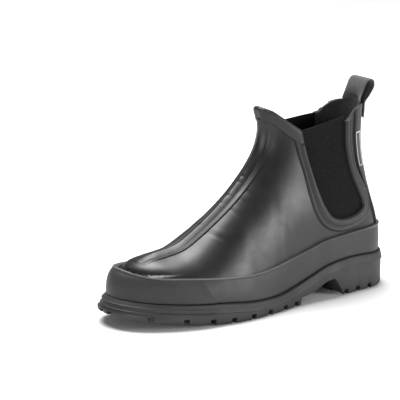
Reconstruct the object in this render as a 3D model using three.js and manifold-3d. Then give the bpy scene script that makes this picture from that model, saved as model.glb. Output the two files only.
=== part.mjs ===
// Left pull-on rubber ankle boot with elastic side gussets, modelled in millimetres.
// X runs from heel to toe, Y to the outer side of the foot and Z up from the floor.
import * as THREE from 'three';
import { mergeVertices } from 'three/addons/utils/BufferGeometryUtils.js';
import Module from 'manifold-3d';

const wasm = await Module();
wasm.setup();

// Main sizes of the last
const SOLE_LENGTH = 272;
const BALL_WIDTH = 84.6;
const SHAFT_WIDTH = 42;
const FRONT_HEIGHT = 160;
const HEEL_STACK = 31;
const TOE_SPRING = 10;
const HEEL_ROUND = 27;
const TOE_ROUND = 58;
const ROUND_POWER = 2.2;
const TOE_FULLNESS = 3;
const SHAFT_POWER = 2.7;
const SHAFT_EGG = 0.12;
const SHAFT_SHIFT = 1;

// Walls, bands and tapes
const GAP = 0.3;
const SEAT = 0.6;
const WALL = 2;
const INSOLE_THICKNESS = 3.5;
const FOXING_THICKNESS = 1.8;
const FOXING_HEIGHT = 24;
const FOXING_BEAD = 0.6;
const BUMPER_THICKNESS = 2.7;
const STRIP_HALF_WIDTH = 10;
const STRIP_THICKNESS = 1.2;
const STRIP_BEAD = 0.9;
const BACK_STRIP_REACH = 17;
const BACK_STRIP_FOOT_REACH = 9.5;
const BACK_STRIP_THICKNESS = 1.1;
const BINDING_DEPTH = 10.5;
const BINDING_INNER_DEPTH = 8;
const BINDING_THICKNESS = 1.6;
const FRAME_WIDTH = 10.4;
const FRAME_NARROWING = 0.36;
const FRAME_FOOT_GAP = 2.7;
const FRAME_THICKNESS = 1.3;
const FRAME_BEAD = 1.2;
const ELASTIC_THICKNESS = 1.4;
const ELASTIC_SINK = 0.3;
const ELASTIC_PROUD = 4.2;

// Outsole
const LEDGE = 3.5;
const LEDGE_HEIGHT = 7.6;
const SIDE_STEP = 0.8;
const TOE_BULGE = 5;
const RIB_PROUD = 0.8;
const LUG_DEPTH = 4.6;
const LUG_NOTCH_WIDTH = 5;
const LUG_NOTCH_LENGTH = 13;
const CUTTER_MARGIN = 3;
const CHANNEL_WIDTH = 4.5;
const CHANNEL_INSET = 19;
const SHANK_RISE = 15.6;

// Pull loop of webbing
const LOOP_WIDTH = 22;
const LOOP_THICKNESS = 1.5;
const LOOP_HEIGHT = 18.5;
const LOOP_BOW = 5.8;
const LOOP_OUTER_LEG = 13;

// Plan of the upper at the sole line: half width and sideways shift are shares of the ball width
const PLAN = [
  { at: 0.00, half: 0.288, shift: 0.000 },
  { at: 0.13, half: 0.315, shift: -0.002 },
  { at: 0.25, half: 0.338, shift: 0.024 },
  { at: 0.40, half: 0.358, shift: 0.045 },
  { at: 0.52, half: 0.440, shift: 0.045 },
  { at: 0.64, half: 0.500, shift: 0.034 },
  { at: 0.76, half: 0.480, shift: 0.022 },
  { at: 0.88, half: 0.436, shift: 0.004 },
  { at: 1.00, half: 0.426, shift: -0.045 },
];

// Line where the upper meets the sole, as shares of the heel stack
const RIM = [
  { at: -0.05, rise: 0.92 },
  { at: 0.08, rise: 0.95 },
  { at: 0.20, rise: 0.99 },
  { at: 0.29, rise: 0.91 },
  { at: 0.36, rise: 0.72 },
  { at: 0.43, rise: 0.55 },
  { at: 0.51, rise: 0.44 },
  { at: 0.60, rise: 0.45 },
  { at: 0.70, rise: 0.54 },
  { at: 0.80, rise: 0.61 },
  { at: 0.90, rise: 0.68 },
  { at: 1.05, rise: 0.78 },
];

// Height of the rubber foxing band above that line, as shares of its named height
const FOXING = [
  { at: -0.05, rise: 0.970 },
  { at: 0.10, rise: 0.940 },
  { at: 0.22, rise: 0.865 },
  { at: 0.34, rise: 0.945 },
  { at: 0.47, rise: 1.010 },
  { at: 0.60, rise: 0.885 },
  { at: 0.70, rise: 0.810 },
  { at: 0.80, rise: 0.785 },
  { at: 0.90, rise: 0.795 },
  { at: 0.95, rise: 0.820 },
  { at: 1.05, rise: 0.920 },
];

// Front profile from the collar down the instep to the toe: shares of length and of front height
const RIDGE = [
  { x: 0.488, z: 1.080 },
  { x: 0.477, z: 1.000 },
  { x: 0.466, z: 0.935 },
  { x: 0.464, z: 0.862 },
  { x: 0.477, z: 0.781 },
  { x: 0.507, z: 0.700 },
  { x: 0.547, z: 0.625 },
  { x: 0.595, z: 0.556 },
  { x: 0.650, z: 0.486 },
  { x: 0.708, z: 0.418 },
  { x: 0.770, z: 0.358 },
  { x: 0.832, z: 0.335 },
  { x: 0.890, z: 0.327 },
  { x: 0.950, z: 0.311 },
  { x: 1.040, z: 0.272 },
];

// Profile of the toe wall and of the heel back: shares of length and of front height
const TOE_WALL = [
  { z: -0.050, x: 0.982 },
  { z: 0.150, x: 0.982 },
  { z: 0.200, x: 0.981 },
  { z: 0.235, x: 0.975 },
  { z: 0.265, x: 0.965 },
  { z: 0.290, x: 0.951 },
  { z: 0.320, x: 0.946 },
  { z: 1.100, x: 0.946 },
];
const BACK = [
  { z: -0.050, x: 0.026 },
  { z: 0.190, x: 0.026 },
  { z: 0.265, x: 0.026 },
  { z: 0.325, x: 0.028 },
  { z: 0.395, x: 0.037 },
  { z: 0.475, x: 0.053 },
  { z: 0.580, x: 0.073 },
  { z: 0.690, x: 0.088 },
  { z: 0.785, x: 0.094 },
  { z: 0.865, x: 0.093 },
  { z: 0.960, x: 0.088 },
  { z: 1.080, x: 0.082 },
];

// Half width of the shaft by height, as shares of its named width
const SHAFT = [
  { at: 0.00, half: 0.790 },
  { at: 0.30, half: 0.775 },
  { at: 0.45, half: 0.715 },
  { at: 0.58, half: 0.645 },
  { at: 0.70, half: 0.580 },
  { at: 0.85, half: 0.515 },
  { at: 1.10, half: 0.480 },
];

// Roundness of the cross section along the foot: low is steep like an instep, high is boxy
const CROWN = [
  { at: 0.00, power: 2.0 },
  { at: 0.50, power: 1.5 },
  { at: 0.62, power: 1.6 },
  { at: 0.78, power: 2.0 },
  { at: 1.00, power: 2.4 },
];

// Top edge of the shaft from the back to the front peak
const COLLAR = [
  { at: 0.040, rise: 0.970 },
  { at: 0.090, rise: 0.970 },
  { at: 0.121, rise: 0.968 },
  { at: 0.147, rise: 0.954 },
  { at: 0.166, rise: 0.934 },
  { at: 0.183, rise: 0.910 },
  { at: 0.205, rise: 0.902 },
  { at: 0.350, rise: 0.880 },
  { at: 0.366, rise: 0.882 },
  { at: 0.388, rise: 0.907 },
  { at: 0.421, rise: 0.948 },
  { at: 0.453, rise: 0.985 },
  { at: 0.500, rise: 1.012 },
];

// Gusset opening seen from the side, from its top front corner down and round to the top back
const GUSSET = [
  { x: 0.366, z: 0.884 },
  { x: 0.358, z: 0.810 },
  { x: 0.350, z: 0.735 },
  { x: 0.337, z: 0.655 },
  { x: 0.322, z: 0.570 },
  { x: 0.303, z: 0.492 },
  { x: 0.276, z: 0.432 },
  { x: 0.236, z: 0.404 },
  { x: 0.190, z: 0.403 },
  { x: 0.150, z: 0.421 },
  { x: 0.132, z: 0.458 },
  { x: 0.147, z: 0.520 },
  { x: 0.172, z: 0.600 },
  { x: 0.190, z: 0.690 },
  { x: 0.198, z: 0.780 },
  { x: 0.198, z: 0.850 },
  { x: 0.197, z: 0.905 },
];

// Underside of the waist from the heel's breast to the forefoot's tread, as shares of length and
// of the shank's rise
const SHANK = [
  { x: 0.223, z: -0.06 },
  { x: 0.262, z: 0.95 },
  { x: 0.283, z: 1.00 },
  { x: 0.306, z: 0.93 },
  { x: 0.335, z: 0.70 },
  { x: 0.365, z: 0.52 },
  { x: 0.404, z: 0.44 },
];
const TREAD_START = 0.406;

// Places of the gaps between the lugs along each side, as shares of length
const FOREFOOT_NOTCHES = [0.432, 0.484, 0.550, 0.618, 0.687, 0.758, 0.838, 0.924];
const HEEL_NOTCHES = [0.062, 0.115, 0.166, 0.218];
const TOE_NOTCH = 0.981;

// Pairs of points that the upper's rows join: up to 1 down the back line, up to 2 along the sole
// edge, and in front as a share of the ridge
const FAN = [
  { back: 0.00, front: 0.000 },
  { back: 0.50, front: 0.190 },
  { back: 1.00, front: 0.380 },
  { back: 1.14, front: 0.540 },
  { back: 1.36, front: 0.670 },
  { back: 1.66, front: 0.790 },
  { back: 2.00, front: 1.000 },
];

const SPRING_START = 0.70 * SOLE_LENGTH;
const SPRING_POWER = 1.25;
const HEEL_SPOT = 0.12 * SOLE_LENGTH;
const ANKLE_LOW = 0.34 * FRONT_HEIGHT;
const ANKLE_HIGH = 0.58 * FRONT_HEIGHT;
const FAN_END = 0.86 * SOLE_LENGTH;
const STRIP_END = 0.915 * SOLE_LENGTH;
const SEAM_TOP = 0.785 * SOLE_LENGTH;
const SEAM_FOOT = 0.745 * SOLE_LENGTH;
const CURVE_STEPS = 240;
const SLOPE_STEP = 0.2;

// Shared curve helpers
const lerp = THREE.MathUtils.lerp;

function smooth(low, high, value) {
  return THREE.MathUtils.smoothstep(value, low, high);
}

function denseCurve(points, steps = CURVE_STEPS) {
  return new THREE.SplineCurve(points.map(([a, b]) => new THREE.Vector2(a, b))).getPoints(steps);
}

// Value of the second coordinate where the first one is reached on a curve that rises in it
function lookUp(dense, value) {
  let low = 0;
  let high = dense.length - 1;
  while (high - low > 1) {
    const middle = (low + high) >> 1;
    if (dense[middle].x > value) high = middle;
    else low = middle;
  }
  const a = dense[low];
  const b = dense[high];
  return lerp(a.y, b.y, (value - a.x) / (b.x - a.x));
}

function tableCurve(rows, length, size, from, to) {
  const dense = denseCurve(rows.map(row => [row[from] * length, row[to] * size]));
  return value => lookUp(dense, value);
}

const planHalf = tableCurve(PLAN, SOLE_LENGTH, BALL_WIDTH, 'at', 'half');
const planShift = tableCurve(PLAN, SOLE_LENGTH, BALL_WIDTH, 'at', 'shift');
const rimHeight = tableCurve(RIM, SOLE_LENGTH, HEEL_STACK, 'at', 'rise');
const foxingRise = tableCurve(FOXING, SOLE_LENGTH, FOXING_HEIGHT, 'at', 'rise');
const instep = RIDGE.filter(row => row.z < 0.9);
const ridgeHeight = tableCurve(instep, SOLE_LENGTH, FRONT_HEIGHT, 'x', 'z');
const frontX = tableCurve([...RIDGE].reverse(), FRONT_HEIGHT, SOLE_LENGTH, 'z', 'x');
const toeX = tableCurve(TOE_WALL, FRONT_HEIGHT, SOLE_LENGTH, 'z', 'x');
const backX = tableCurve(BACK, FRONT_HEIGHT, SOLE_LENGTH, 'z', 'x');
const shaftHalf = tableCurve(SHAFT, FRONT_HEIGHT, SHAFT_WIDTH, 'at', 'half');
const crownPower = tableCurve(CROWN, SOLE_LENGTH, 1, 'at', 'power');
const collarHeight = tableCurve(COLLAR, SOLE_LENGTH, FRONT_HEIGHT, 'at', 'rise');

function foxingTop(x) {
  return rimHeight(x) + foxingRise(x);
}

function floorHeight(x) {
  const share = Math.max(0, (x - SPRING_START) / (SOLE_LENGTH - SPRING_START));
  return TOE_SPRING * share ** SPRING_POWER;
}

// One at a distance from an end and zero at the end, falling like a round nose
function closing(share) {
  return 1 - Math.abs(1 - Math.min(share, 1)) ** ROUND_POWER;
}

// Squared half width of the foot, from plan, heel, toe and arched cross section. Toe and arch are
// joined so that the top of the toe turns into its front in a full round
function footSquared(x, z) {
  const heel = closing((x - backX(z)) / HEEL_ROUND);
  const rim = rimHeight(x);
  const rise = Math.max(0, (z - rim) / (ridgeHeight(x) - rim));
  const toe = 1 - closing((toeX(z) - x) / TOE_ROUND);
  const arch = rise ** crownPower(x);
  const shut = (toe ** TOE_FULLNESS + arch ** TOE_FULLNESS) ** (1 / TOE_FULLNESS);
  return planHalf(x) ** 2 * heel * (1 - shut);
}

// Squared half width of the shaft, an egg between the heel back and the instep
function shaftSquared(x, z) {
  const back = backX(z);
  const front = frontX(z);
  const along = (2 * x - back - front) / (front - back);
  const oval = 1 - Math.abs(along) ** SHAFT_POWER;
  return shaftHalf(z) ** 2 * oval * (1 - SHAFT_EGG * along);
}

function shaftShare(x, z) {
  const lean = 0.2 * (x - 0.3 * SOLE_LENGTH);
  return smooth(ANKLE_LOW, ANKLE_HIGH, z - lean);
}

function widthSquared(x, z) {
  const share = shaftShare(x, z);
  if (share >= 1) return shaftSquared(x, z);
  if (share <= 0) return footSquared(x, z);
  return lerp(footSquared(x, z), shaftSquared(x, z), share);
}

function centre(x, z) {
  return lerp(planShift(x), SHAFT_SHIFT, shaftShare(x, z));
}

function field(x, y, z) {
  return (y - centre(x, z)) ** 2 - widthSquared(x, z);
}

// A point on the upper's outer face, moved out along its normal
function pushed(x, y, z, offset) {
  const h = SLOPE_STEP;
  const normal = new THREE.Vector3(
    field(x + h, y, z) - field(x - h, y, z),
    field(x, y + h, z) - field(x, y - h, z),
    field(x, y, z + h) - field(x, y, z - h),
  ).normalize();
  return new THREE.Vector3(x, y, z).addScaledVector(normal, offset);
}

function sidePoint(x, z, side, offset = 0) {
  const y = centre(x, z) + side * Math.sqrt(Math.max(0, widthSquared(x, z)));
  return pushed(x, y, z, offset);
}

// The upper's outer face met from outside along a direction that points inward
function metFrom(start, inward, offset) {
  const reach = 40;
  let low = -3;
  let high = reach;
  const at = new THREE.Vector3();
  const value = s => {
    at.copy(start).addScaledVector(inward, s);
    return field(at.x, at.y, at.z);
  };
  const stride = 0.5;
  for (let s = low; s < reach; s += stride) {
    if (value(s + stride) < 0) {
      low = s;
      high = s + stride;
      break;
    }
  }
  for (let k = 0; k < 24; k++) {
    const middle = (low + high) / 2;
    if (value(middle) > 0) low = middle;
    else high = middle;
  }
  value(high);
  return pushed(at.x, at.y, at.z, offset);
}

// Mesh helpers
function meshGeometry(points, faces) {
  const raw = new THREE.BufferGeometry();
  raw.setAttribute('position', new THREE.Float32BufferAttribute(points.flatMap(p => [p.x, p.y, p.z]), 3));
  raw.setIndex(faces);
  const welded = mergeVertices(raw, 1e-3);
  const index = [...welded.index.array];
  const kept = [];
  for (let k = 0; k < index.length; k += 3) {
    const [a, b, c] = index.slice(k, k + 3);
    if (a !== b && b !== c && c !== a) kept.push(a, b, c);
  }
  const position = welded.attributes.position;
  const corner = n => new THREE.Vector3().fromBufferAttribute(position, n);
  let volume = 0;
  for (let k = 0; k < kept.length; k += 3) {
    volume += corner(kept[k]).dot(corner(kept[k + 1]).cross(corner(kept[k + 2])));
  }
  if (volume < 0) kept.reverse();
  welded.setIndex(kept);
  return welded;
}

// A closed slab between two grids of points; rows named by joined meet their own other end
function slab(outer, inner, joined = () => false) {
  const rows = outer.length;
  const columns = outer[0].length;
  const at = (layer, i, j) => (layer * rows + i) * columns + j;
  const faces = [];
  const quad = (a, b, c, d) => faces.push(a, b, c, a, c, d);
  for (let i = 0; i < rows - 1; i++) {
    for (let j = 0; j < columns - 1; j++) {
      quad(at(0, i, j), at(0, i, j + 1), at(0, i + 1, j + 1), at(0, i + 1, j));
      quad(at(1, i, j), at(1, i + 1, j), at(1, i + 1, j + 1), at(1, i, j + 1));
    }
  }
  for (let j = 0; j < columns - 1; j++) {
    quad(at(0, 0, j + 1), at(0, 0, j), at(1, 0, j), at(1, 0, j + 1));
    quad(at(0, rows - 1, j), at(0, rows - 1, j + 1), at(1, rows - 1, j + 1), at(1, rows - 1, j));
  }
  for (let i = 0; i < rows - 1; i++) {
    if (joined(i) && joined(i + 1)) continue;
    const end = columns - 1;
    quad(at(0, i, 0), at(0, i + 1, 0), at(1, i + 1, 0), at(1, i, 0));
    quad(at(0, i + 1, end), at(0, i, end), at(1, i, end), at(1, i + 1, end));
  }
  return meshGeometry([...outer.flat(), ...inner.flat()], faces);
}

// A closed stack of rings; each ring runs heel tip, outer side, toe tip, inner side
function stack(rings) {
  const count = rings[0].length;
  const faces = [];
  for (let r = 0; r < rings.length - 1; r++) {
    for (let k = 0; k < count; k++) {
      const next = (k + 1) % count;
      const a = r * count;
      const b = a + count;
      faces.push(a + k, a + next, b + next, a + k, b + next, b + k);
    }
  }
  const half = count / 2;
  const cap = (base, flip) => {
    for (let k = 0; k < half; k++) {
      const left = [base + k, base + k + 1];
      const right = [base + ((count - k) % count), base + count - k - 1];
      const quad = [left[0], right[0], right[1], left[0], right[1], left[1]];
      faces.push(...(flip ? quad.reverse() : quad));
    }
  };
  cap(0, false);
  cap((rings.length - 1) * count, true);
  return meshGeometry(rings.flat(), faces);
}

function toSolid(geometry) {
  return new wasm.Manifold(new wasm.Mesh({
    numProp: 3,
    vertProperties: new Float32Array(geometry.attributes.position.array),
    triVerts: new Uint32Array(geometry.index.array),
  }));
}

function fromSolid(solid) {
  const mesh = solid.getMesh();
  const geometry = new THREE.BufferGeometry();
  geometry.setAttribute('position', new THREE.Float32BufferAttribute(mesh.vertProperties, 3));
  geometry.setIndex([...mesh.triVerts]);
  return geometry;
}

// A bar with a side view outline, reaching from one Y to another
function sideBar(outline, from, to) {
  const shape = new THREE.Shape(outline.map(([x, z]) => new THREE.Vector2(x, z)));
  const geometry = new THREE.ExtrudeGeometry(shape, { depth: to - from, bevelEnabled: false });
  geometry.rotateX(Math.PI / 2);
  geometry.translate(0, to, 0);
  geometry.deleteAttribute('normal');
  geometry.deleteAttribute('uv');
  return toSolid(mergeVertices(geometry, 1e-3));
}

function placedBox(size, matrix) {
  const geometry = new THREE.BoxGeometry(...size);
  geometry.applyMatrix4(matrix);
  geometry.deleteAttribute('normal');
  geometry.deleteAttribute('uv');
  return toSolid(mergeVertices(geometry, 1e-3));
}

// Plan outline of the upper where it meets the sole, with its outward direction
function rimOutline(half) {
  const low = backX(rimHeight(0));
  const high = toeX(rimHeight(SOLE_LENGTH));
  const inside = 0.02;
  const point = (x, side) => {
    const z = rimHeight(x);
    const y = centre(x, z) + side * Math.sqrt(Math.max(0, widthSquared(x, z)));
    const h = SLOPE_STEP;
    const plan = (a, b) => field(a, b, rimHeight(a));
    const out = new THREE.Vector2(plan(x + h, y) - plan(x - h, y), plan(x, y + h) - plan(x, y - h));
    out.normalize();
    return { x, y, out };
  };
  const outer = [];
  const inner = [];
  for (let k = 0; k <= half; k++) {
    const x = lerp(low + inside, high - inside, (1 - Math.cos(Math.PI * k / half)) / 2);
    outer.push(point(x, 1));
    if (k > 0 && k < half) inner.unshift(point(x, -1));
  }
  for (const tip of [outer[0], outer[half]]) {
    tip.y = centre(tip.x, rimHeight(tip.x));
    tip.out.y = 0;
    tip.out.normalize();
  }
  return [...outer, ...inner];
}

const RIM_STEPS = 29;
const rimLoop = rimOutline(RIM_STEPS);

function ring(grow, height) {
  return rimLoop.map(({ x, y, out }) => {
    const far = grow(x);
    const px = x + out.x * far;
    return new THREE.Vector3(px, y + out.y * far, height(px));
  });
}

// How far the ledge slants outward: fully round heel and toe, and nearly upright between
function ledgeSlant(x) {
  const heel = 1 - smooth(0.30 * SOLE_LENGTH, 0.46 * SOLE_LENGTH, x);
  return Math.max(heel, smooth(0.86 * SOLE_LENGTH, 0.95 * SOLE_LENGTH, x));
}

// Outsole: one moulded unit with its ledge, toe ribs, heel, waist and lugs
function makeOutsole() {
  const edge = GAP + FOXING_THICKNESS + LEDGE;
  const wall = edge - SIDE_STEP;
  const bulge = x => TOE_BULGE * smooth(0.80 * SOLE_LENGTH, SOLE_LENGTH, x);
  const rib = x => RIB_PROUD * smooth(SEAM_FOOT - 2, SEAM_FOOT + 2, x);
  const slant = (x, flat, slanted) => lerp(flat, slanted, ledgeSlant(x)) * LEDGE;
  const levels = [
    { grow: () => edge - 0.60 * LEDGE, down: 0 },
    { grow: x => edge - slant(x, 0.15, 0.38) + 0.1 * bulge(x), down: 0.16 * LEDGE_HEIGHT },
    { grow: x => edge - slant(x, 0.15, 0.26) + 0.2 * bulge(x), down: 0.34 * LEDGE_HEIGHT },
    { grow: x => edge - slant(x, 0.15, 0.21) + 0.26 * bulge(x) + rib(x), down: 0.44 * LEDGE_HEIGHT },
    { grow: x => edge - slant(x, 0.15, 0.16) + 0.32 * bulge(x), down: 0.54 * LEDGE_HEIGHT },
    { grow: x => edge + 0.45 * bulge(x), down: 0.90 * LEDGE_HEIGHT },
    { grow: x => wall + 0.5 * bulge(x) + rib(x), down: LEDGE_HEIGHT },
    { grow: x => wall + 0.8 * bulge(x), down: LEDGE_HEIGHT + 1.1 },
  ];
  const rings = levels.map(level => ring(level.grow, x => rimHeight(x) - level.down));
  rings.push(ring(x => wall - 0.4 + 1.2 * bulge(x), x => floorHeight(x) + 1));
  rings.push(ring(x => wall - 1.2 + 1.1 * bulge(x), floorHeight));
  const body = toSolid(stack(rings));
  const waist = denseCurve(SHANK.map(p => [p.x * SOLE_LENGTH, p.z * SHANK_RISE]), 24);
  const low = waist[0].y;
  waist.push(new THREE.Vector2(TREAD_START * SOLE_LENGTH, 0.4 * SHANK_RISE));
  waist.push(new THREE.Vector2(TREAD_START * SOLE_LENGTH + 1, low));
  let cut = body.subtract(sideBar(waist.map(p => [p.x, p.y]), -BALL_WIDTH, BALL_WIDTH));
  for (const tool of lugNotches()) cut = cut.subtract(tool);
  for (const tool of treadChannels()) cut = cut.subtract(tool);
  return fromSolid(cut);
}

// Notches round the edge that leave the lugs standing, under forefoot and heel
function lugNotches() {
  const notches = [];
  const reach = 2 * (GAP + FOXING_THICKNESS + LEDGE);
  const notch = (share, side) => {
    const place = placeAt(share * SOLE_LENGTH, side);
    const deep = LUG_NOTCH_LENGTH / 2 - reach / 2;
    const turn = new THREE.Matrix4().makeRotationZ(Math.atan2(place.out.y, place.out.x));
    const middle = new THREE.Matrix4().makeTranslation(
      place.x - place.out.x * deep, place.y - place.out.y * deep,
      floorHeight(place.x) + LUG_DEPTH / 2 - CUTTER_MARGIN);
    const size = [LUG_NOTCH_LENGTH + reach, LUG_NOTCH_WIDTH, LUG_DEPTH + 2 * CUTTER_MARGIN];
    notches.push(placedBox(size, middle.multiply(turn)));
  };
  for (const share of [...HEEL_NOTCHES, ...FOREFOOT_NOTCHES, TOE_NOTCH]) {
    notch(share, 1);
    notch(share, -1);
  }
  return notches;
}

// Lengthwise channels of the tread
function treadChannels() {
  const channels = [];
  const stripe = side => {
    const outline = rimLoop.filter(p => side * (p.y - centre(p.x, 0)) > 0
      && p.x > 0.43 * SOLE_LENGTH && p.x < 0.90 * SOLE_LENGTH);
    outline.sort((a, b) => a.x - b.x);
    const edge = far => outline.map(p => new THREE.Vector2(p.x - p.out.x * far, p.y - p.out.y * far));
    const loop = [...edge(CHANNEL_INSET), ...edge(CHANNEL_INSET + CHANNEL_WIDTH).reverse()];
    const geometry = new THREE.ExtrudeGeometry(new THREE.Shape(loop), { depth: 1, bevelEnabled: false });
    geometry.deleteAttribute('normal');
    geometry.deleteAttribute('uv');
    const position = geometry.attributes.position;
    for (let k = 0; k < position.count; k++) {
      const top = floorHeight(position.getX(k)) + 0.9 * LUG_DEPTH;
      position.setZ(k, position.getZ(k) > 0.5 ? top : -CUTTER_MARGIN);
    }
    channels.push(toSolid(mergeVertices(geometry, 1e-3)));
  };
  stripe(1);
  stripe(-1);
  return channels;
}

// Insole lying on the outsole inside the upper
function makeInsole() {
  const inset = -(WALL + 4 * GAP);
  const level = rise => x => rimHeight(x) + GAP + rise;
  return stack([
    ring(() => inset - 0.8, level(0)),
    ring(() => inset - 0.4, level(0.6)),
    ring(() => inset - 0.8, level(INSOLE_THICKNESS - 0.5)),
    ring(() => inset - 1.6, level(INSOLE_THICKNESS)),
  ].reverse());
}

// Back line and sole edge as one path measured along its real length
function pathOf(points) {
  const reach = [0];
  for (let k = 1; k < points.length; k++) {
    reach.push(reach[k - 1] + points[k].distanceTo(points[k - 1]));
  }
  const whole = reach[reach.length - 1];
  return share => {
    const target = share * whole;
    let k = 1;
    while (k < reach.length - 1 && reach[k] < target) k++;
    const part = (target - reach[k - 1]) / (reach[k] - reach[k - 1]);
    return new THREE.Vector3().lerpVectors(points[k - 1], points[k], part);
  };
}

const UPPER_ROWS = 28;
const UPPER_HALF = 14;
const topHeight = 1.04 * FRONT_HEIGHT;
const soleEdge = x => rimHeight(x) + GAP;

function backPath() {
  const low = soleEdge(0);
  const line = [];
  for (let k = 0; k <= 60; k++) {
    const z = lerp(topHeight, low, k / 60);
    line.push(new THREE.Vector3(backX(z), 0, z));
  }
  const edge = [line[line.length - 1].clone()];
  for (let k = 1; k <= 160; k++) {
    const x = lerp(backX(low), FAN_END, (k / 160) ** 2);
    const z = soleEdge(x);
    edge.push(new THREE.Vector3(x, Math.sqrt(Math.max(0, widthSquared(x, z))), z));
  }
  const down = pathOf(line);
  const forward = pathOf(edge);
  return place => (place <= 1 ? down(place) : forward(place - 1));
}

// Front profile from the collar down to the sole, drawn back onto the last where the toe is round
function frontPath() {
  const points = [];
  const middle = new THREE.Vector3(0.90 * SOLE_LENGTH, 0, 0.22 * FRONT_HEIGHT);
  const settled = point => {
    let far = 0;
    while (widthSquared(lerp(point.x, middle.x, far), lerp(point.z, middle.z, far)) < 0) far += 0.004;
    return point.clone().lerp(middle, far);
  };
  const cornerX = toeX(0.29 * FRONT_HEIGHT);
  for (let k = 0; k <= 100; k++) {
    const z = lerp(topHeight, ridgeHeight(cornerX), k / 100);
    points.push(new THREE.Vector3(Math.min(frontX(z), cornerX), 0, z));
  }
  const low = soleEdge(toeX(0.15 * FRONT_HEIGHT));
  for (let k = 1; k <= 30; k++) {
    const z = lerp(0.29 * FRONT_HEIGHT, low, k / 30);
    points.push(new THREE.Vector3(toeX(z), 0, z));
  }
  return pathOf(points.map(point => (point.x > FAN_END ? settled(point) : point)));
}

function fanShare(key, row) {
  const place = row * (FAN.length - 1);
  const k = Math.min(FAN.length - 2, Math.floor(place));
  return lerp(FAN[k][key], FAN[k + 1][key], place - k);
}

// Side view points of one row of the upper, from back or sole edge to ridge
function upperRow(share, back, front) {
  const place = fanShare('back', share);
  const start = back(place);
  const end = front(fanShare('front', share));
  const open = place > 1 + 1e-6;
  const fade = Math.max(0, 1 - share / 0.16) ** 2;
  const points = [];
  for (let k = 0; k <= UPPER_HALF; k++) {
    const s = k / UPPER_HALF;
    const both = (1 - Math.cos(Math.PI * s)) / 2;
    const t = open ? lerp(both, Math.sin(Math.PI * s / 2), smooth(0.3, 0.6, share)) : both;
    let x = lerp(start.x, end.x, t);
    let z = lerp(start.z, end.z, t);
    const line = z;
    for (let round = 0; fade > 0 && round < 4; round++) {
      z = lerp(line, collarHeight(x) + WALL, fade);
      x = lerp(backX(z), frontX(z), t);
    }
    points.push([x, z]);
  }
  return { open, points };
}

function shellGrid(offset) {
  const back = backPath();
  const front = frontPath();
  const closedRows = [];
  const grid = [];
  for (let i = 0; i <= UPPER_ROWS; i++) {
    const { open, points } = upperRow(i / UPPER_ROWS, back, front);
    closedRows.push(!open);
    const outer = points.map(([x, z], k) => sidePoint(x, z, k === UPPER_HALF ? 0 : 1, offset));
    const inner = points.map(([x, z], k) => sidePoint(x, z, k === UPPER_HALF ? 0 : -1, offset));
    if (!open) {
      outer[0] = sidePoint(points[0][0], points[0][1], 0, offset);
      inner[0] = outer[0].clone();
    }
    grid.push([...outer, ...inner.reverse().slice(1)]);
  }
  return { grid, closedRows };
}

// Gusset outline in the side view, smooth and evenly stepped, with its foot kept above the foxing
function gussetOutline(steps) {
  const top = GUSSET[0].z * FRONT_HEIGHT;
  const foot = Math.min(...GUSSET.map(p => p.z)) * FRONT_HEIGHT;
  const lift = foxingTop(0.21 * SOLE_LENGTH) + FRAME_WIDTH + FRAME_FOOT_GAP - foot;
  const height = z => z + lift * Math.max(0, (top - z) / (top - foot));
  const curve = new THREE.SplineCurve(GUSSET.map(p =>
    new THREE.Vector2(p.x * SOLE_LENGTH, height(p.z * FRONT_HEIGHT))));
  return curve.getSpacedPoints(steps);
}

function outwardFrom(outline, k) {
  const before = outline[Math.max(0, k - 1)];
  const after = outline[Math.min(outline.length - 1, k + 1)];
  const way = after.clone().sub(before).normalize();
  return new THREE.Vector2(way.y, -way.x).negate();
}

function makeUpper() {
  const { grid, closedRows } = shellGrid(0);
  const inner = shellGrid(-WALL).grid;
  let shell = toSolid(slab(grid, inner, i => closedRows[i]));
  const outline = gussetOutline(40).map(p => [p.x, p.y]);
  const lift = 2 * BINDING_DEPTH;
  const first = outline[0];
  const last = outline[outline.length - 1];
  const opening = [[first[0], first[1] + lift], ...outline, [last[0], last[1] + lift]];
  shell = shell.subtract(sideBar(opening, SHAFT_WIDTH / 8, SHAFT_WIDTH));
  shell = shell.subtract(sideBar(opening, -SHAFT_WIDTH, -SHAFT_WIDTH / 8));
  return fromSolid(shell.subtract(aboveCollar()));
}

// Everything above the collar edge, seen from the side
function aboveCollar() {
  const lowX = backX(FRONT_HEIGHT) - 4 * WALL;
  const highX = frontX(FRONT_HEIGHT) + 2 * WALL;
  const zone = [];
  const steps = 36;
  for (let k = 0; k <= steps; k++) {
    const x = lerp(lowX, highX, k / steps);
    zone.push([x, collarHeight(x)]);
  }
  zone.push([highX, 1.2 * FRONT_HEIGHT]);
  zone.push([lowX, 1.2 * FRONT_HEIGHT]);
  return sideBar(zone, -SHAFT_WIDTH, SHAFT_WIDTH);
}

// Bands that run round the foot, from the sole line up to the foxing line
function bandPoint(place, rise, offset) {
  const start = new THREE.Vector3(place.x + place.out.x * 2, place.y + place.out.y * 2, 0);
  start.z = lerp(rimHeight(place.x) + GAP, foxingTop(place.x), rise);
  return metFrom(start, new THREE.Vector3(-place.out.x, -place.out.y, 0), offset);
}

function seamX(rise) {
  return lerp(SEAM_FOOT, SEAM_TOP, rise);
}

// A place on the sole line at a given length, for either side
function placeAt(x, side) {
  const z = rimHeight(x);
  const y = centre(x, z) + side * Math.sqrt(Math.max(0, widthSquared(x, z)));
  const h = SLOPE_STEP;
  const plan = (a, b) => field(a, b, rimHeight(a));
  const out = new THREE.Vector2(plan(x + h, y) - plan(x - h, y), plan(x, y + h) - plan(x, y - h));
  return { x, y, out: out.normalize() };
}

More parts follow.
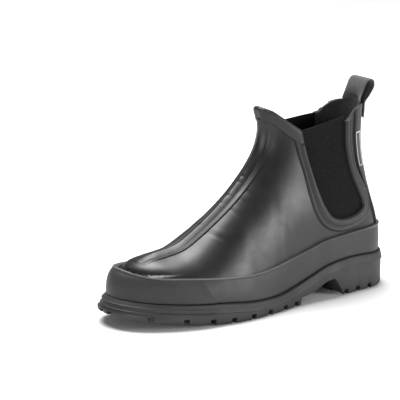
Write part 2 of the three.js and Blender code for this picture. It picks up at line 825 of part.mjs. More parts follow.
function band(profile, lengths) {
  const face = key => lengths.map(({ share, side, from, to }) => profile.map(row => {
    const x = lerp(from(row.rise), to(row.rise), share);
    return bandPoint(placeAt(x, side), row.rise, row[key]);
  }));
  return slab(face('out'), face('in'));
}

function makeFoxing() {
  const profile = [
    { rise: 0.00, out: SEAT + FOXING_THICKNESS, in: SEAT },
    { rise: 0.45, out: SEAT + FOXING_THICKNESS, in: SEAT },
    { rise: 0.90, out: SEAT + FOXING_THICKNESS, in: SEAT },
    { rise: 0.95, out: SEAT + FOXING_THICKNESS + FOXING_BEAD, in: SEAT },
    { rise: 1.00, out: SEAT + 0.6 * FOXING_THICKNESS, in: SEAT },
  ];
  const tip = () => backX(rimHeight(0)) + 0.02;
  const lengths = [];
  const steps = 27;
  for (let k = 0; k <= steps; k++) {
    lengths.push({ share: (1 - k / steps) ** 1.4, side: 1, from: tip, to: r => seamX(r) - GAP });
  }
  for (let k = 1; k <= steps; k++) {
    lengths.push({ share: (k / steps) ** 1.4, side: -1, from: tip, to: r => seamX(r) - GAP });
  }
  return band(profile, lengths);
}

function makeToeBumper() {
  const profile = [
    { rise: 0.00, out: SEAT + BUMPER_THICKNESS, in: SEAT },
    { rise: 0.45, out: SEAT + BUMPER_THICKNESS, in: SEAT },
    { rise: 0.72, out: SEAT + BUMPER_THICKNESS, in: SEAT },
    { rise: 0.92, out: SEAT + BUMPER_THICKNESS, in: SEAT },
    { rise: 1.00, out: SEAT + 0.5 * BUMPER_THICKNESS, in: SEAT },
  ];
  const tip = () => toeX(rimHeight(SOLE_LENGTH)) - 0.02;
  const lengths = [];
  const steps = 14;
  for (let k = 0; k <= steps; k++) {
    lengths.push({ share: 1 - (1 - k / steps) ** 1.8, side: 1, from: seamX, to: tip });
  }
  for (let k = 1; k <= steps; k++) {
    lengths.push({ share: 1 - (k / steps) ** 1.8, side: -1, from: seamX, to: tip });
  }
  return band(profile, lengths);
}

// A strip that lies along the ridge, with its profile across
function ridgeStrip(line, across) {
  const face = key => line.map((p, k) => {
    const before = line[Math.max(0, k - 2)];
    const after = line[Math.min(line.length - 1, k + 2)];
    const way = after.clone().sub(before).normalize();
    const into = new THREE.Vector3(way.y, 0, -way.x);
    return across.map(row => {
      const y = centre(p.x, p.y) + row.at;
      const start = new THREE.Vector3(p.x - into.x * 2, y, p.y - into.z * 2);
      return metFrom(start, into, row[key]);
    });
  });
  return slab(face('out'), face('in'));
}

function mirroredRows(rows) {
  const other = rows.filter(row => row.at > 0).map(row => ({ ...row, at: -row.at }));
  return [...other.reverse(), ...rows];
}

function makeFrontStrip() {
  const line = [];
  const steps = 21;
  const high = collarHeight(frontX(FRONT_HEIGHT)) - 0.7 * BINDING_DEPTH;
  const front = frontPath();
  const shareOf = test => {
    let share = 0;
    while (share < 1 && !test(front(share))) share += 0.002;
    return share;
  };
  const from = shareOf(p => p.z < high);
  const to = shareOf(p => p.x > STRIP_END);
  for (let k = 0; k <= steps; k++) {
    const p = front(lerp(from, to, k / steps));
    line.push(new THREE.Vector2(p.x, p.z));
  }
  const across = mirroredRows([
    { at: 0, out: SEAT + STRIP_THICKNESS + STRIP_BEAD, in: SEAT },
    { at: 0.40 * STRIP_HALF_WIDTH, out: SEAT + STRIP_THICKNESS + 0.7 * STRIP_BEAD, in: SEAT },
    { at: 0.62 * STRIP_HALF_WIDTH, out: SEAT + 0.7 * STRIP_THICKNESS, in: SEAT },
    { at: STRIP_HALF_WIDTH, out: SEAT + 0.6 * STRIP_THICKNESS, in: SEAT },
  ]);
  const strip = toSolid(ridgeStrip(line, across));
  return fromSolid(strip.subtract(bindingZone()));
}

// Wide strip round the back, between the two gusset tapes
function makeBackStrip() {
  const across = mirroredRows([
    { at: 0, out: 1 },
    { at: 0.30, out: 1 },
    { at: 0.62, out: 1 },
    { at: 0.93, out: 1 },
    { at: 1, out: 0.5 },
  ]);
  const steps = 10;
  const low = foxingTop(0) + 2 * GAP;
  const high = collarHeight(backX(FRONT_HEIGHT)) + WALL;
  const face = outer => {
    const rows = [];
    for (let k = 0; k <= steps; k++) {
      const z = lerp(low, high, k / steps);
      const widening = smooth(0.45 * FRONT_HEIGHT, 0.70 * FRONT_HEIGHT, z);
      const reach = lerp(BACK_STRIP_FOOT_REACH, BACK_STRIP_REACH, widening);
      rows.push(across.map(({ at, out }) => sidePoint(backX(z) + reach * at ** 2, z, Math.sign(at),
        outer ? SEAT + out * BACK_STRIP_THICKNESS : SEAT)));
    }
    return rows;
  };
  return fromSolid(toSolid(slab(face(true), face(false))).subtract(aboveCollar()));
}

// Folded rubber tape over the top edge of the front, from gusset to gusset
function makeBinding() {
  const inside = -WALL - SEAT;
  const outer = [
    [BINDING_DEPTH, SEAT + 0.5 * BINDING_THICKNESS],
    [BINDING_DEPTH - 1, SEAT + BINDING_THICKNESS],
    [0, SEAT + BINDING_THICKNESS],
    [-1.8, -WALL / 2],
    [0, inside - BINDING_THICKNESS],
    [BINDING_INNER_DEPTH, inside - 0.8 * BINDING_THICKNESS],
  ];
  const inner = [
    [BINDING_DEPTH, SEAT],
    [BINDING_DEPTH - 1, SEAT],
    [-GAP, SEAT],
    [-GAP, -WALL / 2],
    [-GAP, inside],
    [BINDING_INNER_DEPTH, inside],
  ];
  const corner = GUSSET[0].x * SOLE_LENGTH + GAP;
  const steps = 15;
  const stations = [];
  for (let k = 0; k <= 2 * steps; k++) {
    const side = Math.sign(steps - k);
    const share = Math.sin(Math.PI / 2 * (1 - Math.abs(steps - k) / steps));
    stations.push({ side, x: lerp(corner, frontX(FRONT_HEIGHT), share) });
  }
  const face = rows => stations.map(({ side, x }) => rows.map(([down, offset]) => {
    const place = belowCollar(side === 0 ? frontX(FRONT_HEIGHT) : x, down);
    return sidePoint(place.x, place.z, side, offset);
  }));
  return slab(face(outer), face(inner));
}

// Side view point below the collar edge, keeping its share of the way from back to front
function belowCollar(x, down) {
  const top = collarHeight(x);
  const share = Math.min(1, (x - backX(top)) / (frontX(top) - backX(top)));
  return { x: lerp(backX(top - down), frontX(top - down), share), z: top - down };
}

// Elastic panel filling the gusset opening, a little below the rubber's face
function makeElastic(side) {
  const proud = side > 0 ? ELASTIC_PROUD : 0;
  const outline = gussetOutline(40);
  const inset = outline.map((p, k) => p.clone().addScaledVector(outwardFrom(outline, k), -GAP));
  const rows = 10;
  const columns = 6;
  const half = 20;
  const face = offset => {
    const grid = [];
    for (let i = 0; i <= rows; i++) {
      const line = [];
      const k = Math.round(lerp(0, half - 3, i / rows));
      const front = inset[k];
      const back = inset[inset.length - 1 - k];
      for (let j = 0; j <= columns; j++) {
        const p = front.clone().lerp(back, j / columns);
        const rise = i === 0 ? proud * j / columns : 0;
        line.push(sidePoint(p.x, p.y + rise, side, offset));
      }
      grid.push(line);
    }
    const bottom = [];
    for (let j = 0; j <= columns; j++) {
      const place = lerp(half - 3, half + 3, j / columns);
      const k = Math.floor(place);
      const p = inset[k].clone().lerp(inset[Math.min(k + 1, inset.length - 1)], place - k);
      bottom.push(sidePoint(p.x, p.y, side, offset));
    }
    grid.push(bottom);
    return grid;
  };
  return slab(face(-ELASTIC_SINK), face(-ELASTIC_SINK - ELASTIC_THICKNESS));
}

// Raised tape round the gusset, with a bead next to the elastic
function makeFrame(side) {
  const outline = gussetOutline(31);
  const end = outline[outline.length - 1];
  outline.push(new THREE.Vector2(end.x - WALL / 2, collarHeight(backX(FRONT_HEIGHT)) + WALL));
  const profile = [
    { at: 0.00, out: SEAT + 0.6 * FRAME_THICKNESS },
    { at: 0.22, out: SEAT + FRAME_THICKNESS + FRAME_BEAD },
    { at: 0.46, out: SEAT + FRAME_THICKNESS },
    { at: 1.00, out: SEAT + 0.7 * FRAME_THICKNESS },
  ];
  const face = outer => outline.map((p, k) => profile.map(row => {
    const narrowing = FRAME_NARROWING * smooth(0.45 * FRONT_HEIGHT, 0.72 * FRONT_HEIGHT, p.y);
    const width = FRAME_WIDTH * (1 - narrowing);
    const place = p.clone().addScaledVector(outwardFrom(outline, k), row.at * width);
    return sidePoint(place.x, place.y, side, outer ? row.out : SEAT);
  }));
  const tape = toSolid(slab(face(true), face(false)));
  return fromSolid(tape.subtract(bindingZone()).subtract(aboveCollar()));
}

// Everything that the binding covers, seen from the side, with a gap below it
function bindingZone() {
  const low = GUSSET[0].x * SOLE_LENGTH - FRAME_WIDTH / 2;
  const high = frontX(FRONT_HEIGHT);
  const zone = [];
  for (let k = 0; k <= 14; k++) {
    const place = belowCollar(lerp(low, high, k / 14), BINDING_DEPTH + 3 * GAP);
    zone.push([place.x, place.z]);
  }
  zone.push([high + FRAME_WIDTH, zone[zone.length - 1][1] + 1]);
  zone.push([high + FRAME_WIDTH, 1.2 * FRONT_HEIGHT]);
  zone.push([low, 1.2 * FRONT_HEIGHT]);
  return sideBar(zone, -SHAFT_WIDTH, SHAFT_WIDTH);
}

// How far forward the back wall, moved out by an offset, has curved at a distance to one side
function wallBend(aside, offset, z) {
  const inward = new THREE.Vector3(1, 0, 0);
  const meet = y => {
    const start = new THREE.Vector3(backX(z) - 2, SHAFT_SHIFT + y, z);
    return metFrom(start, inward, offset);
  };
  let low = 0;
  let high = 2 * Math.abs(aside);
  for (let k = 0; k < 20; k++) {
    const middle = (low + high) / 2;
    if (meet(middle).y - SHAFT_SHIFT < Math.abs(aside)) low = middle;
    else high = middle;
  }
  return meet(low).x - meet(0).x;
}

// Webbing loop: one end lies on the back strip, the other stands on the collar edge. Both curve
// with the wall, and the loop between is flat
function makePullLoop() {
  const top = collarHeight(backX(0.96 * FRONT_HEIGHT));
  const outside = -(SEAT + BACK_STRIP_THICKNESS + 2 * GAP + LOOP_THICKNESS / 2);
  const inside = WALL / 2;
  const path = [
    { out: outside, up: -LOOP_OUTER_LEG, hug: 1 },
    { out: outside, up: -0.5 * LOOP_OUTER_LEG, hug: 1 },
    { out: outside, up: 0, hug: 1 },
    { out: outside - 0.4 * LOOP_BOW, up: 0.33 * LOOP_HEIGHT, hug: 0.3 },
    { out: outside - 0.95 * LOOP_BOW, up: 0.70 * LOOP_HEIGHT, hug: 0 },
    { out: outside - 0.75 * LOOP_BOW, up: 0.96 * LOOP_HEIGHT, hug: 0 },
    { out: inside - 0.5 * LOOP_BOW, up: 0.98 * LOOP_HEIGHT, hug: 0 },
    { out: inside + 0.15 * LOOP_BOW, up: 0.68 * LOOP_HEIGHT, hug: 0 },
    { out: inside + 0.25 * LOOP_BOW, up: 0.36 * LOOP_HEIGHT, hug: -0.4 },
    { out: inside, up: 0.14 * LOOP_HEIGHT, hug: -1 },
    { out: inside, up: SEAT, hug: -1 },
  ];
  const steps = 25;
  const line = denseCurve(path.map(p => [backX(Math.min(top, top + p.up)) + p.out, top + p.up]), steps);
  const hugs = denseCurve(path.map((p, k) => [k, p.hug]), steps).map(p => p.y);
  const widths = [-0.5, -0.25, 0, 0.25, 0.5];
  const outsideBends = widths.map(w => wallBend(w * LOOP_WIDTH, -outside, top));
  const insideBends = widths.map(w => wallBend(w * LOOP_WIDTH, -inside, top));
  const face = half => line.map((p, k) => {
    const before = line[Math.max(0, k - 1)];
    const after = line[Math.min(line.length - 1, k + 1)];
    const way = after.clone().sub(before).normalize();
    const bends = hugs[k] > 0 ? outsideBends : insideBends;
    return widths.map((w, n) => new THREE.Vector3(p.x - way.y * half + Math.abs(hugs[k]) * bends[n],
      SHAFT_SHIFT + w * LOOP_WIDTH, p.y + way.x * half));
  });
  return slab(face(LOOP_THICKNESS / 2), face(-LOOP_THICKNESS / 2));
}

// Materials
const rubber = () => new THREE.MeshStandardMaterial({ color: 0x1b1c1d, roughness: 0.42, metalness: 0 });
const soleRubber = () => new THREE.MeshStandardMaterial({ color: 0x232425, roughness: 0.6, metalness: 0 });
const elastic = () => new THREE.MeshStandardMaterial({ color: 0x26282a, roughness: 0.9, metalness: 0 });
const webbing = () => new THREE.MeshStandardMaterial({ color: 0x3b3e40, roughness: 0.9, metalness: 0 });
const lining = () => new THREE.MeshStandardMaterial({ color: 0x151617, roughness: 0.95, metalness: 0 });

const group = new THREE.Group();
group.position.x = -HEEL_SPOT;

function add(name, geometry, material) {
  geometry.computeVertexNormals();
  const mesh = new THREE.Mesh(geometry, material);
  mesh.name = name;
  group.add(mesh);
}

add('outsole', makeOutsole(), soleRubber());
add('upper', makeUpper(), rubber());
add('insole', makeInsole(), lining());
add('foxing', makeFoxing(), rubber());
add('toe_bumper', makeToeBumper(), rubber());
add('front_strip', makeFrontStrip(), rubber());
add('back_strip', makeBackStrip(), rubber());
add('collar_binding', makeBinding(), rubber());
add('gusset_frame_outer', makeFrame(1), rubber());
add('gusset_frame_inner', makeFrame(-1), rubber());
add('elastic_outer', makeElastic(1), elastic());
add('elastic_inner', makeElastic(-1), elastic());
add('pull_loop', makePullLoop(), webbing());

export default group;
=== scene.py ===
# %% [markdown]
# # A pull-on rubber ankle boot
# The real boot is hand-laid sheet rubber over a knitted lining, vulcanised on a last: a shell, a
# ribbed elastic panel at each side, tapes and strips on top, a rubber band round the foot and a
# moulded sole. It could be sculpted freely, or pushed out of the plain solids with modifiers. Here
# each piece is a fine grid laid on one mathematical last, the same one that the solids use, so
# every strip follows the foot exactly and nothing has to be fitted by eye.

# %% Load the fixed frame
import math
import bmesh
import bpy
import numpy as np
from mathutils import Matrix, Vector


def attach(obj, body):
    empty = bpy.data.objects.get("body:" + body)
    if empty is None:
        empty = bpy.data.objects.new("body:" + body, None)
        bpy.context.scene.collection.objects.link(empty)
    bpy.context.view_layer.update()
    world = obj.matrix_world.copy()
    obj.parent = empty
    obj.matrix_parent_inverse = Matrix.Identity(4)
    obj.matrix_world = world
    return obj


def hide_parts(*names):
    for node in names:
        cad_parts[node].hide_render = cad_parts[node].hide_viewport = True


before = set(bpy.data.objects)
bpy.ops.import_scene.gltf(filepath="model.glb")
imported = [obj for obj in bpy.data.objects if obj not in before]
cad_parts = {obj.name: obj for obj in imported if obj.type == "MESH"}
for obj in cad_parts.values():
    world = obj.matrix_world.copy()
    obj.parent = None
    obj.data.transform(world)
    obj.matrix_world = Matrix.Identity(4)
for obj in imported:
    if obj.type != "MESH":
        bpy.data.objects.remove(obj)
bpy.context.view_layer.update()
MM = 0.001
print("solids in the frame:", sorted(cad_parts))

# %% [markdown]
# ## Sizes of the last
# A last is the wooden or plastic foot that a boot is built on. Its sizes are a few lengths, and
# short tables that say how width, height and profile change along it, as shares of those lengths.
# Shares keep the tables readable and let the whole boot grow from one number.

# %% Main lengths, in millimetres
SOLE_LENGTH = 272
BALL_WIDTH = 84.6
SHAFT_WIDTH = 42
FRONT_HEIGHT = 160
HEEL_STACK = 31
TOE_SPRING = 10
HEEL_ROUND = 27
TOE_ROUND = 58
ROUND_POWER = 2.2
TOE_FULLNESS = 3
SHAFT_POWER = 2.7
SHAFT_EGG = 0.12
SHAFT_SHIFT = 1
HEEL_SPOT = 0.12 * SOLE_LENGTH
WALL = 2
FOXING_HEIGHT = 24

# %% Tables of the last: along or up, then the value there
PLAN_HALF = [(0, .288), (.13, .315), (.25, .338), (.40, .358), (.52, .440), (.64, .500), (.76, .480), (.88, .436), (1, .426)]
PLAN_SHIFT = [(0, 0), (.13, -.002), (.25, .024), (.40, .045), (.52, .045), (.64, .034), (.76, .022), (.88, .004), (1, -.045)]
RIM = [(-.05, .92), (.08, .95), (.20, .99), (.29, .91), (.36, .72), (.43, .55), (.51, .44), (.60, .45), (.70, .54), (.80, .61), (.90, .68), (1.05, .78)]
FOXING = [(-.05, .970), (.10, .940), (.22, .865), (.34, .945), (.47, 1.010), (.60, .885), (.70, .810), (.80, .785),
          (.90, .795), (.95, .820), (1.05, .920)]
RIDGE = [(.488, 1.080), (.477, 1.000), (.466, .935), (.464, .862), (.477, .781), (.507, .700), (.547, .625), (.595, .556),
         (.650, .486), (.708, .418), (.770, .358), (.832, .335), (.890, .327), (.950, .311), (1.040, .272)]
TOE_WALL = [(-.05, .982), (.150, .982), (.200, .981), (.235, .975), (.265, .965), (.290, .951), (.320, .946), (1.1, .946)]
BACK = [(-.05, .026), (.190, .026), (.265, .026), (.325, .028), (.395, .037), (.475, .053), (.580, .073), (.690, .088),
        (.785, .094), (.865, .093), (.960, .088), (1.080, .082)]
SHAFT = [(0, .790), (.30, .775), (.45, .715), (.58, .645), (.70, .580), (.85, .515), (1.10, .480)]
CROWN = [(0, 2.0), (.50, 1.5), (.62, 1.6), (.78, 2.0), (1, 2.4)]
COLLAR = [(.040, .970), (.090, .970), (.121, .968), (.147, .954), (.166, .934), (.183, .910), (.205, .902), (.350, .880),
          (.366, .882), (.388, .907), (.421, .948), (.453, .985), (.500, 1.012)]
GUSSET = [(.366, .884), (.358, .810), (.350, .735), (.337, .655), (.322, .570), (.303, .492), (.276, .432), (.236, .404),
          (.190, .403), (.150, .421), (.132, .458), (.147, .520), (.172, .600), (.190, .690), (.198, .780), (.198, .850),
          (.197, .905)]
SHANK = [(.223, -.06), (.262, .95), (.283, 1.00), (.306, .93), (.335, .70), (.365, .52), (.404, .44)]
SHANK_RISE = 15.6
TREAD_START = 0.406

# %% [markdown]
# ## Smooth curves through a few points
# Between the rows of a table the value has to glide. A Bezier curve object could do it, but a
# Catmull-Rom spline in plain arrays passes through every row, needs no handles and can be read at
# thousands of places at once.

# %% Curve helpers
def through(points, steps=3000):
    p = np.array(points, float)
    t = np.linspace(0, len(p) - 1, steps + 1)
    k = np.minimum(t.astype(int), len(p) - 2)
    w = (t - k)[:, None]
    last = len(p) - 1
    a, b, c, d = p[np.maximum(k - 1, 0)], p[k], p[k + 1], p[np.minimum(k + 2, last)]
    u, v = (c - a) / 2, (d - b) / 2
    return (2 * b - 2 * c + u + v) * w ** 3 + (3 * c - 3 * b - 2 * u - v) * w ** 2 + u * w + b


def reader(rows, along, size):
    xs, ys = (through([(a * along, b * size) for a, b in rows])).T
    first = (ys[1] - ys[0]) / (xs[1] - xs[0])
    final = (ys[-1] - ys[-2]) / (xs[-1] - xs[-2])

    def read(value):
        value = np.asarray(value, float)
        inside = np.interp(value, xs, ys)
        inside = np.where(value < xs[0], ys[0] + (value - xs[0]) * first, inside)
        return np.where(value > xs[-1], ys[-1] + (value - xs[-1]) * final, inside)
    return read


def mix(a, b, share):
    return a + (b - a) * share


def smooth(low, high, value):
    t = np.clip((value - low) / (high - low), 0, 1)
    return t * t * (3 - 2 * t)


def bump(value, centre, half):
    """One at the centre, fading to nothing half away from it."""
    return np.cos(np.clip((value - centre) / half, -1, 1) * math.pi / 2) ** 2


def spaced(points, count):
    """The same line with evenly spaced points."""
    points = np.asarray(points, float)
    reach = np.r_[0, np.cumsum(np.linalg.norm(np.diff(points, axis=0), axis=1))]
    at = np.linspace(0, reach[-1], count)
    return np.stack([np.interp(at, reach, column) for column in points.T], -1)


swap = lambda rows: [(b, a) for a, b in rows]
plan_half = reader(PLAN_HALF, SOLE_LENGTH, BALL_WIDTH)
plan_shift = reader(PLAN_SHIFT, SOLE_LENGTH, BALL_WIDTH)
rim_height = reader(RIM, SOLE_LENGTH, HEEL_STACK)
foxing_rise = reader(FOXING, SOLE_LENGTH, FOXING_HEIGHT)
ridge_height = reader([row for row in RIDGE if row[1] < 0.9], SOLE_LENGTH, FRONT_HEIGHT)
front_x = reader(swap(RIDGE)[::-1], FRONT_HEIGHT, SOLE_LENGTH)
toe_x = reader(TOE_WALL, FRONT_HEIGHT, SOLE_LENGTH)
back_x = reader(BACK, FRONT_HEIGHT, SOLE_LENGTH)
shaft_half = reader(SHAFT, FRONT_HEIGHT, SHAFT_WIDTH)
crown_power = reader(CROWN, SOLE_LENGTH, 1)
collar_height = reader(COLLAR, SOLE_LENGTH, FRONT_HEIGHT)
print("collar at the back, mm:", round(float(collar_height(0.09 * SOLE_LENGTH)), 1))

# %% [markdown]
# ## The last as one formula
# The foot part takes its width from the plan, closed like a round nose at toe and heel and arched
# over the instep. The shaft part is an egg-shaped tube. Both give a squared half width for a place
# in the side view, and one fades into the other at the ankle. A sculpted mesh would need fitting
# for each strip; a formula gives a surface point and its normal anywhere.

# %% Width, centre line and surface of the last
def foxing_top(x):
    return rim_height(x) + foxing_rise(x)


def floor_height(x):
    start = 0.70 * SOLE_LENGTH
    return TOE_SPRING * np.maximum(0, (x - start) / (SOLE_LENGTH - start)) ** 1.25


def closing(share):
    return 1 - np.abs(1 - np.minimum(share, 1)) ** ROUND_POWER


def shaft_share(x, z):
    return smooth(0.34 * FRONT_HEIGHT, 0.58 * FRONT_HEIGHT, z - 0.2 * (x - 0.3 * SOLE_LENGTH))


def width_squared(x, z):
    back, front, rim = back_x(z), front_x(z), rim_height(x)
    rise = np.maximum(0, (z - rim) / (ridge_height(x) - rim))
    toe = 1 - closing((toe_x(z) - x) / TOE_ROUND)
    shut = (toe ** TOE_FULLNESS + rise ** (TOE_FULLNESS * crown_power(x))) ** (1 / TOE_FULLNESS)
    foot = plan_half(x) ** 2 * closing((x - back) / HEEL_ROUND) * (1 - shut)
    along = (2 * x - back - front) / (front - back)
    shaft = shaft_half(z) ** 2 * (1 - np.abs(along) ** SHAFT_POWER) * (1 - SHAFT_EGG * along)
    return mix(foot, shaft, shaft_share(x, z))


def centre(x, z):
    return mix(plan_shift(x), SHAFT_SHIFT, shaft_share(x, z))


def field(p):
    x, y, z = p[..., 0], p[..., 1], p[..., 2]
    return (y - centre(x, z)) ** 2 - width_squared(x, z)


def pushed(p, offset):
    h = 0.2
    normal = np.stack([field(p + step) - field(p - step) for step in np.eye(3) * h], -1)
    normal /= np.linalg.norm(normal, axis=-1, keepdims=True) + 1e-12
    return p + normal * np.asarray(offset, float)[..., None]


def side_point(x, z, side, offset=0.0):
    x, z = np.asarray(x, float), np.asarray(z, float)
    y = centre(x, z) + side * np.sqrt(np.maximum(0, width_squared(x, z)))
    return pushed(np.stack([x, y, z], -1), offset + 0 * x)


def met_from(start, inward, offset):
    """Where a line from outside meets the last, moved out by the offset."""
    start, inward = np.broadcast_arrays(np.asarray(start, float), np.asarray(inward, float))
    low = np.full(start.shape[:-1], -3.0)
    found = np.zeros(low.shape, bool)
    for s in np.arange(-3, 40, 0.5):
        hit = ~found & (field(start + inward * (s + 0.5)) < 0)
        low = np.where(hit, s, low)
        found |= hit
        if found.all():
            break
    high = low + 0.5
    for _ in range(22):
        middle = (low + high) / 2
        outside = field(start + inward * middle[..., None]) > 0
        low = np.where(outside, middle, low)
        high = np.where(outside, high, middle)
    return pushed(start + inward * high[..., None], offset + 0 * high)


print("ball width, mm:", round(2 * float(np.sqrt(width_squared(0.64 * SOLE_LENGTH, 16))), 1))

# %% [markdown]
# ## From grids to meshes
# A piece of sheet rubber has two faces and an edge all round. Two grids of points, one for each
# face, joined along their borders, make such a slab. The Solidify modifier does the same for even
# sheets, but these strips change thickness across their width, so both faces are given.

# %% Mesh helpers
def new_piece(name, points, faces, materials, face_material=None, lay=None):
    points = np.asarray(points, float).reshape(-1, 3).copy()
    points[:, 0] -= HEEL_SPOT
    mesh = bpy.data.meshes.new(name)
    mesh.from_pydata((points * MM).tolist(), [], faces)
    if lay is not None:
        layer = mesh.attributes.new("lay", "FLOAT_VECTOR", "POINT")
        layer.data.foreach_set("vector", (np.asarray(lay, float).reshape(-1, 3) * MM).ravel())
    for material in materials:
        mesh.materials.append(material)
    if face_material is not None:
        mesh.polygons.foreach_set("material_index", np.asarray(face_material, np.int32))
    work = bmesh.new()
    work.from_mesh(mesh)
    bmesh.ops.remove_doubles(work, verts=work.verts, dist=2e-6)
    bmesh.ops.dissolve_degenerate(work, edges=work.edges, dist=1e-6)
    bmesh.ops.recalc_face_normals(work, faces=work.faces)
    work.to_mesh(mesh)
    work.free()
    piece = bpy.data.objects.new(name, mesh)
    bpy.context.scene.collection.objects.link(piece)
    return piece


def soften(piece, degrees=40):
    piece.data.shade_smooth()
    piece.data.set_sharp_from_angle(angle=math.radians(degrees))


def grid_faces(rows, columns, base=0, flip=False):
    i, j = np.meshgrid(np.arange(rows - 1), np.arange(columns - 1), indexing="ij")
    a = base + i * columns + j
    quads = np.stack([a, a + 1, a + columns + 1, a + columns], -1).reshape(-1, 4)
    return quads[:, ::-1] if flip else quads


def slab(name, outer, inner, materials, joined=None, lay=None, inner_material=0):
    rows, columns = outer.shape[:2]
    count = rows * columns
    faces = [grid_faces(rows, columns), grid_faces(rows, columns, count, True)]
    i, j = np.arange(rows - 1), np.arange(columns - 1)
    if joined is not None:
        i = np.array([k for k in i if not (joined[k] and joined[k + 1])], int)
    for edge in (0, (rows - 1) * columns):
        faces.append(np.stack([edge + j, edge + j + 1, count + edge + j + 1, count + edge + j], -1))
    for edge in (0, columns - 1):
        a, b = i * columns + edge, (i + 1) * columns + edge
        faces.append(np.stack([a, b, count + b, count + a], -1))
    tone = np.concatenate([np.full(len(f), inner_material if n == 1 else 0) for n, f in enumerate(faces)])
    points = np.concatenate([outer.reshape(-1, 3), inner.reshape(-1, 3)])
    both = None if lay is None else np.concatenate([lay.reshape(-1, 3)] * 2)
    piece = new_piece(name, points, np.concatenate(faces).tolist(), materials, tone, both)
    soften(piece)
    return piece


def finish_piece(piece, slot, *nodes):
    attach(piece, "root")
    if nodes:
        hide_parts(*nodes)
    print(piece.name, "faces:", len(piece.data.polygons))


def prism(outline, low, high):
    """A block with a side view outline, from one Y to another, used as a cutter."""
    n = len(outline)
    points = [(x, y, z) for y in (low, high) for x, z in outline]
    faces = [list(range(n)), list(range(2 * n - 1, n - 1, -1))]
    faces += [[k, (k + 1) % n, n + (k + 1) % n, n + k] for k in range(n)]
    return new_piece("cutter", points, faces, [])


def carve(piece, cutters):
    for cutter in cutters:
        cut = piece.modifiers.new("cut", "BOOLEAN")
        cut.operation, cut.solver, cut.object = "DIFFERENCE", "MANIFOLD", cutter
    bake(piece)
    for cutter in cutters:
        bpy.data.objects.remove(cutter)


def bake(piece):
    """The modifiers become plain mesh."""
    view = bpy.context.evaluated_depsgraph_get()
    mesh = bpy.data.meshes.new_from_object(piece.evaluated_get(view))
    piece.modifiers.clear()
    old = piece.data
    piece.data = mesh
    bpy.data.meshes.remove(old)
    mesh.name = piece.name


# %% [markdown]
# ## Finishes
# Vulcanised rubber is nearly black with a satin bloom: broad, soft highlights that waver a little,
# because the sheets are laid by hand. Pictures of rubber would show one boot's own stains; noise
# textures in the shader give the same bloom at any size and on any piece.

# %% Node helpers
def material(name, base, rough, coat=0.0, sheen=0.0, shine=0.5):
    made = bpy.data.materials.new(name)
    made.use_nodes = True
    made.diffuse_color = (*base, 1)
    shader = made.node_tree.nodes["Principled BSDF"]
    shader.inputs["Base Color"].default_value = (*base, 1)
    shader.inputs["Roughness"].default_value = rough
    shader.inputs["Coat Weight"].default_value = coat
    shader.inputs["Coat Roughness"].default_value = 0.22
    shader.inputs["Sheen Weight"].default_value = sheen
    shader.inputs["Sheen Roughness"].default_value = 0.5
    shader.inputs["Specular IOR Level"].default_value = shine
    return made, made.node_tree, shader


def node(tree, kind, **inputs):
    made = tree.nodes.new("ShaderNode" + kind)
    for key, value in inputs.items():
        target = made.inputs[key.replace("_", " ")]
        if isinstance(value, bpy.types.NodeSocket):
            tree.links.new(value, target)
        else:
            target.default_value = value
    return made


def noise(tree, scale, detail=3.0, where=None):
    where = where or node(tree, "TexCoord").outputs["Object"]
    return node(tree, "TexNoise", Vector=where, Scale=scale, Detail=detail).outputs["Fac"]


def sums(tree, operation, a, b):
    made = tree.nodes.new("ShaderNodeMath")
    made.operation = operation
    for socket, value in zip(made.inputs, (a, b)):
        if isinstance(value, bpy.types.NodeSocket):
            tree.links.new(value, socket)
        else:
            socket.default_value = value
    return made.outputs[0]


def between(tree, fac, low, high):
    made = node(tree, "MapRange", Value=fac, To_Min=low, To_Max=high)
    made.inputs["From Min"].default_value = 0.3
    made.inputs["From Max"].default_value = 0.7
    return made.outputs[0]


def tint(tree, shader, fac, dark, light):
    blend = tree.nodes.new("ShaderNodeMix")
    blend.data_type = "RGBA"
    tree.links.new(fac, blend.inputs[0])
    blend.inputs[6].default_value = (*dark, 1)
    blend.inputs[7].default_value = (*light, 1)
    tree.links.new(blend.outputs[2], shader.inputs["Base Color"])


def relief(tree, shader, layers):
    """Bump from several heights: (height socket, depth in millimetres)."""
    normal = None
    for height, depth in layers:
        made = node(tree, "Bump", Height=height, Distance=depth * MM, Strength=1.0)
        if normal is not None:
            tree.links.new(normal, made.inputs["Normal"])
        normal = made.outputs["Normal"]
    tree.links.new(normal, shader.inputs["Normal"])


def lay_parts(tree):
    where = tree.nodes.new("ShaderNodeAttribute")
    where.attribute_name = "lay"
    parts = node(tree, "SeparateXYZ", Vector=where.outputs["Vector"])
    return parts.outputs["X"], parts.outputs["Y"]


def wave(tree, value, pitch):
    return sums(tree, "SINE", sums(tree, "MULTIPLY", value, 2 * math.pi / (pitch * MM)), 0.0)


# %% Rubber finishes
def rubber(name, dark, light, smooth_rough, dull_rough, grain, coat):
    made, tree, shader = material(name, dark, smooth_rough, coat)
    cloud = noise(tree, 28.0)
    tint(tree, shader, between(tree, cloud, 0.0, 1.0), dark, light)
    bloom = sums(tree, "ADD", between(tree, noise(tree, 70.0), 0.0, 0.6), between(tree, noise(tree, 900.0), 0.0, 0.4))
    rough = node(tree, "MapRange", Value=bloom, To_Min=smooth_rough, To_Max=dull_rough).outputs[0]
    tree.links.new(rough, shader.inputs["Roughness"])
    relief(tree, shader, [(noise(tree, 110.0, 1.0), 0.10), (noise(tree, 2600.0), grain)])
    return made


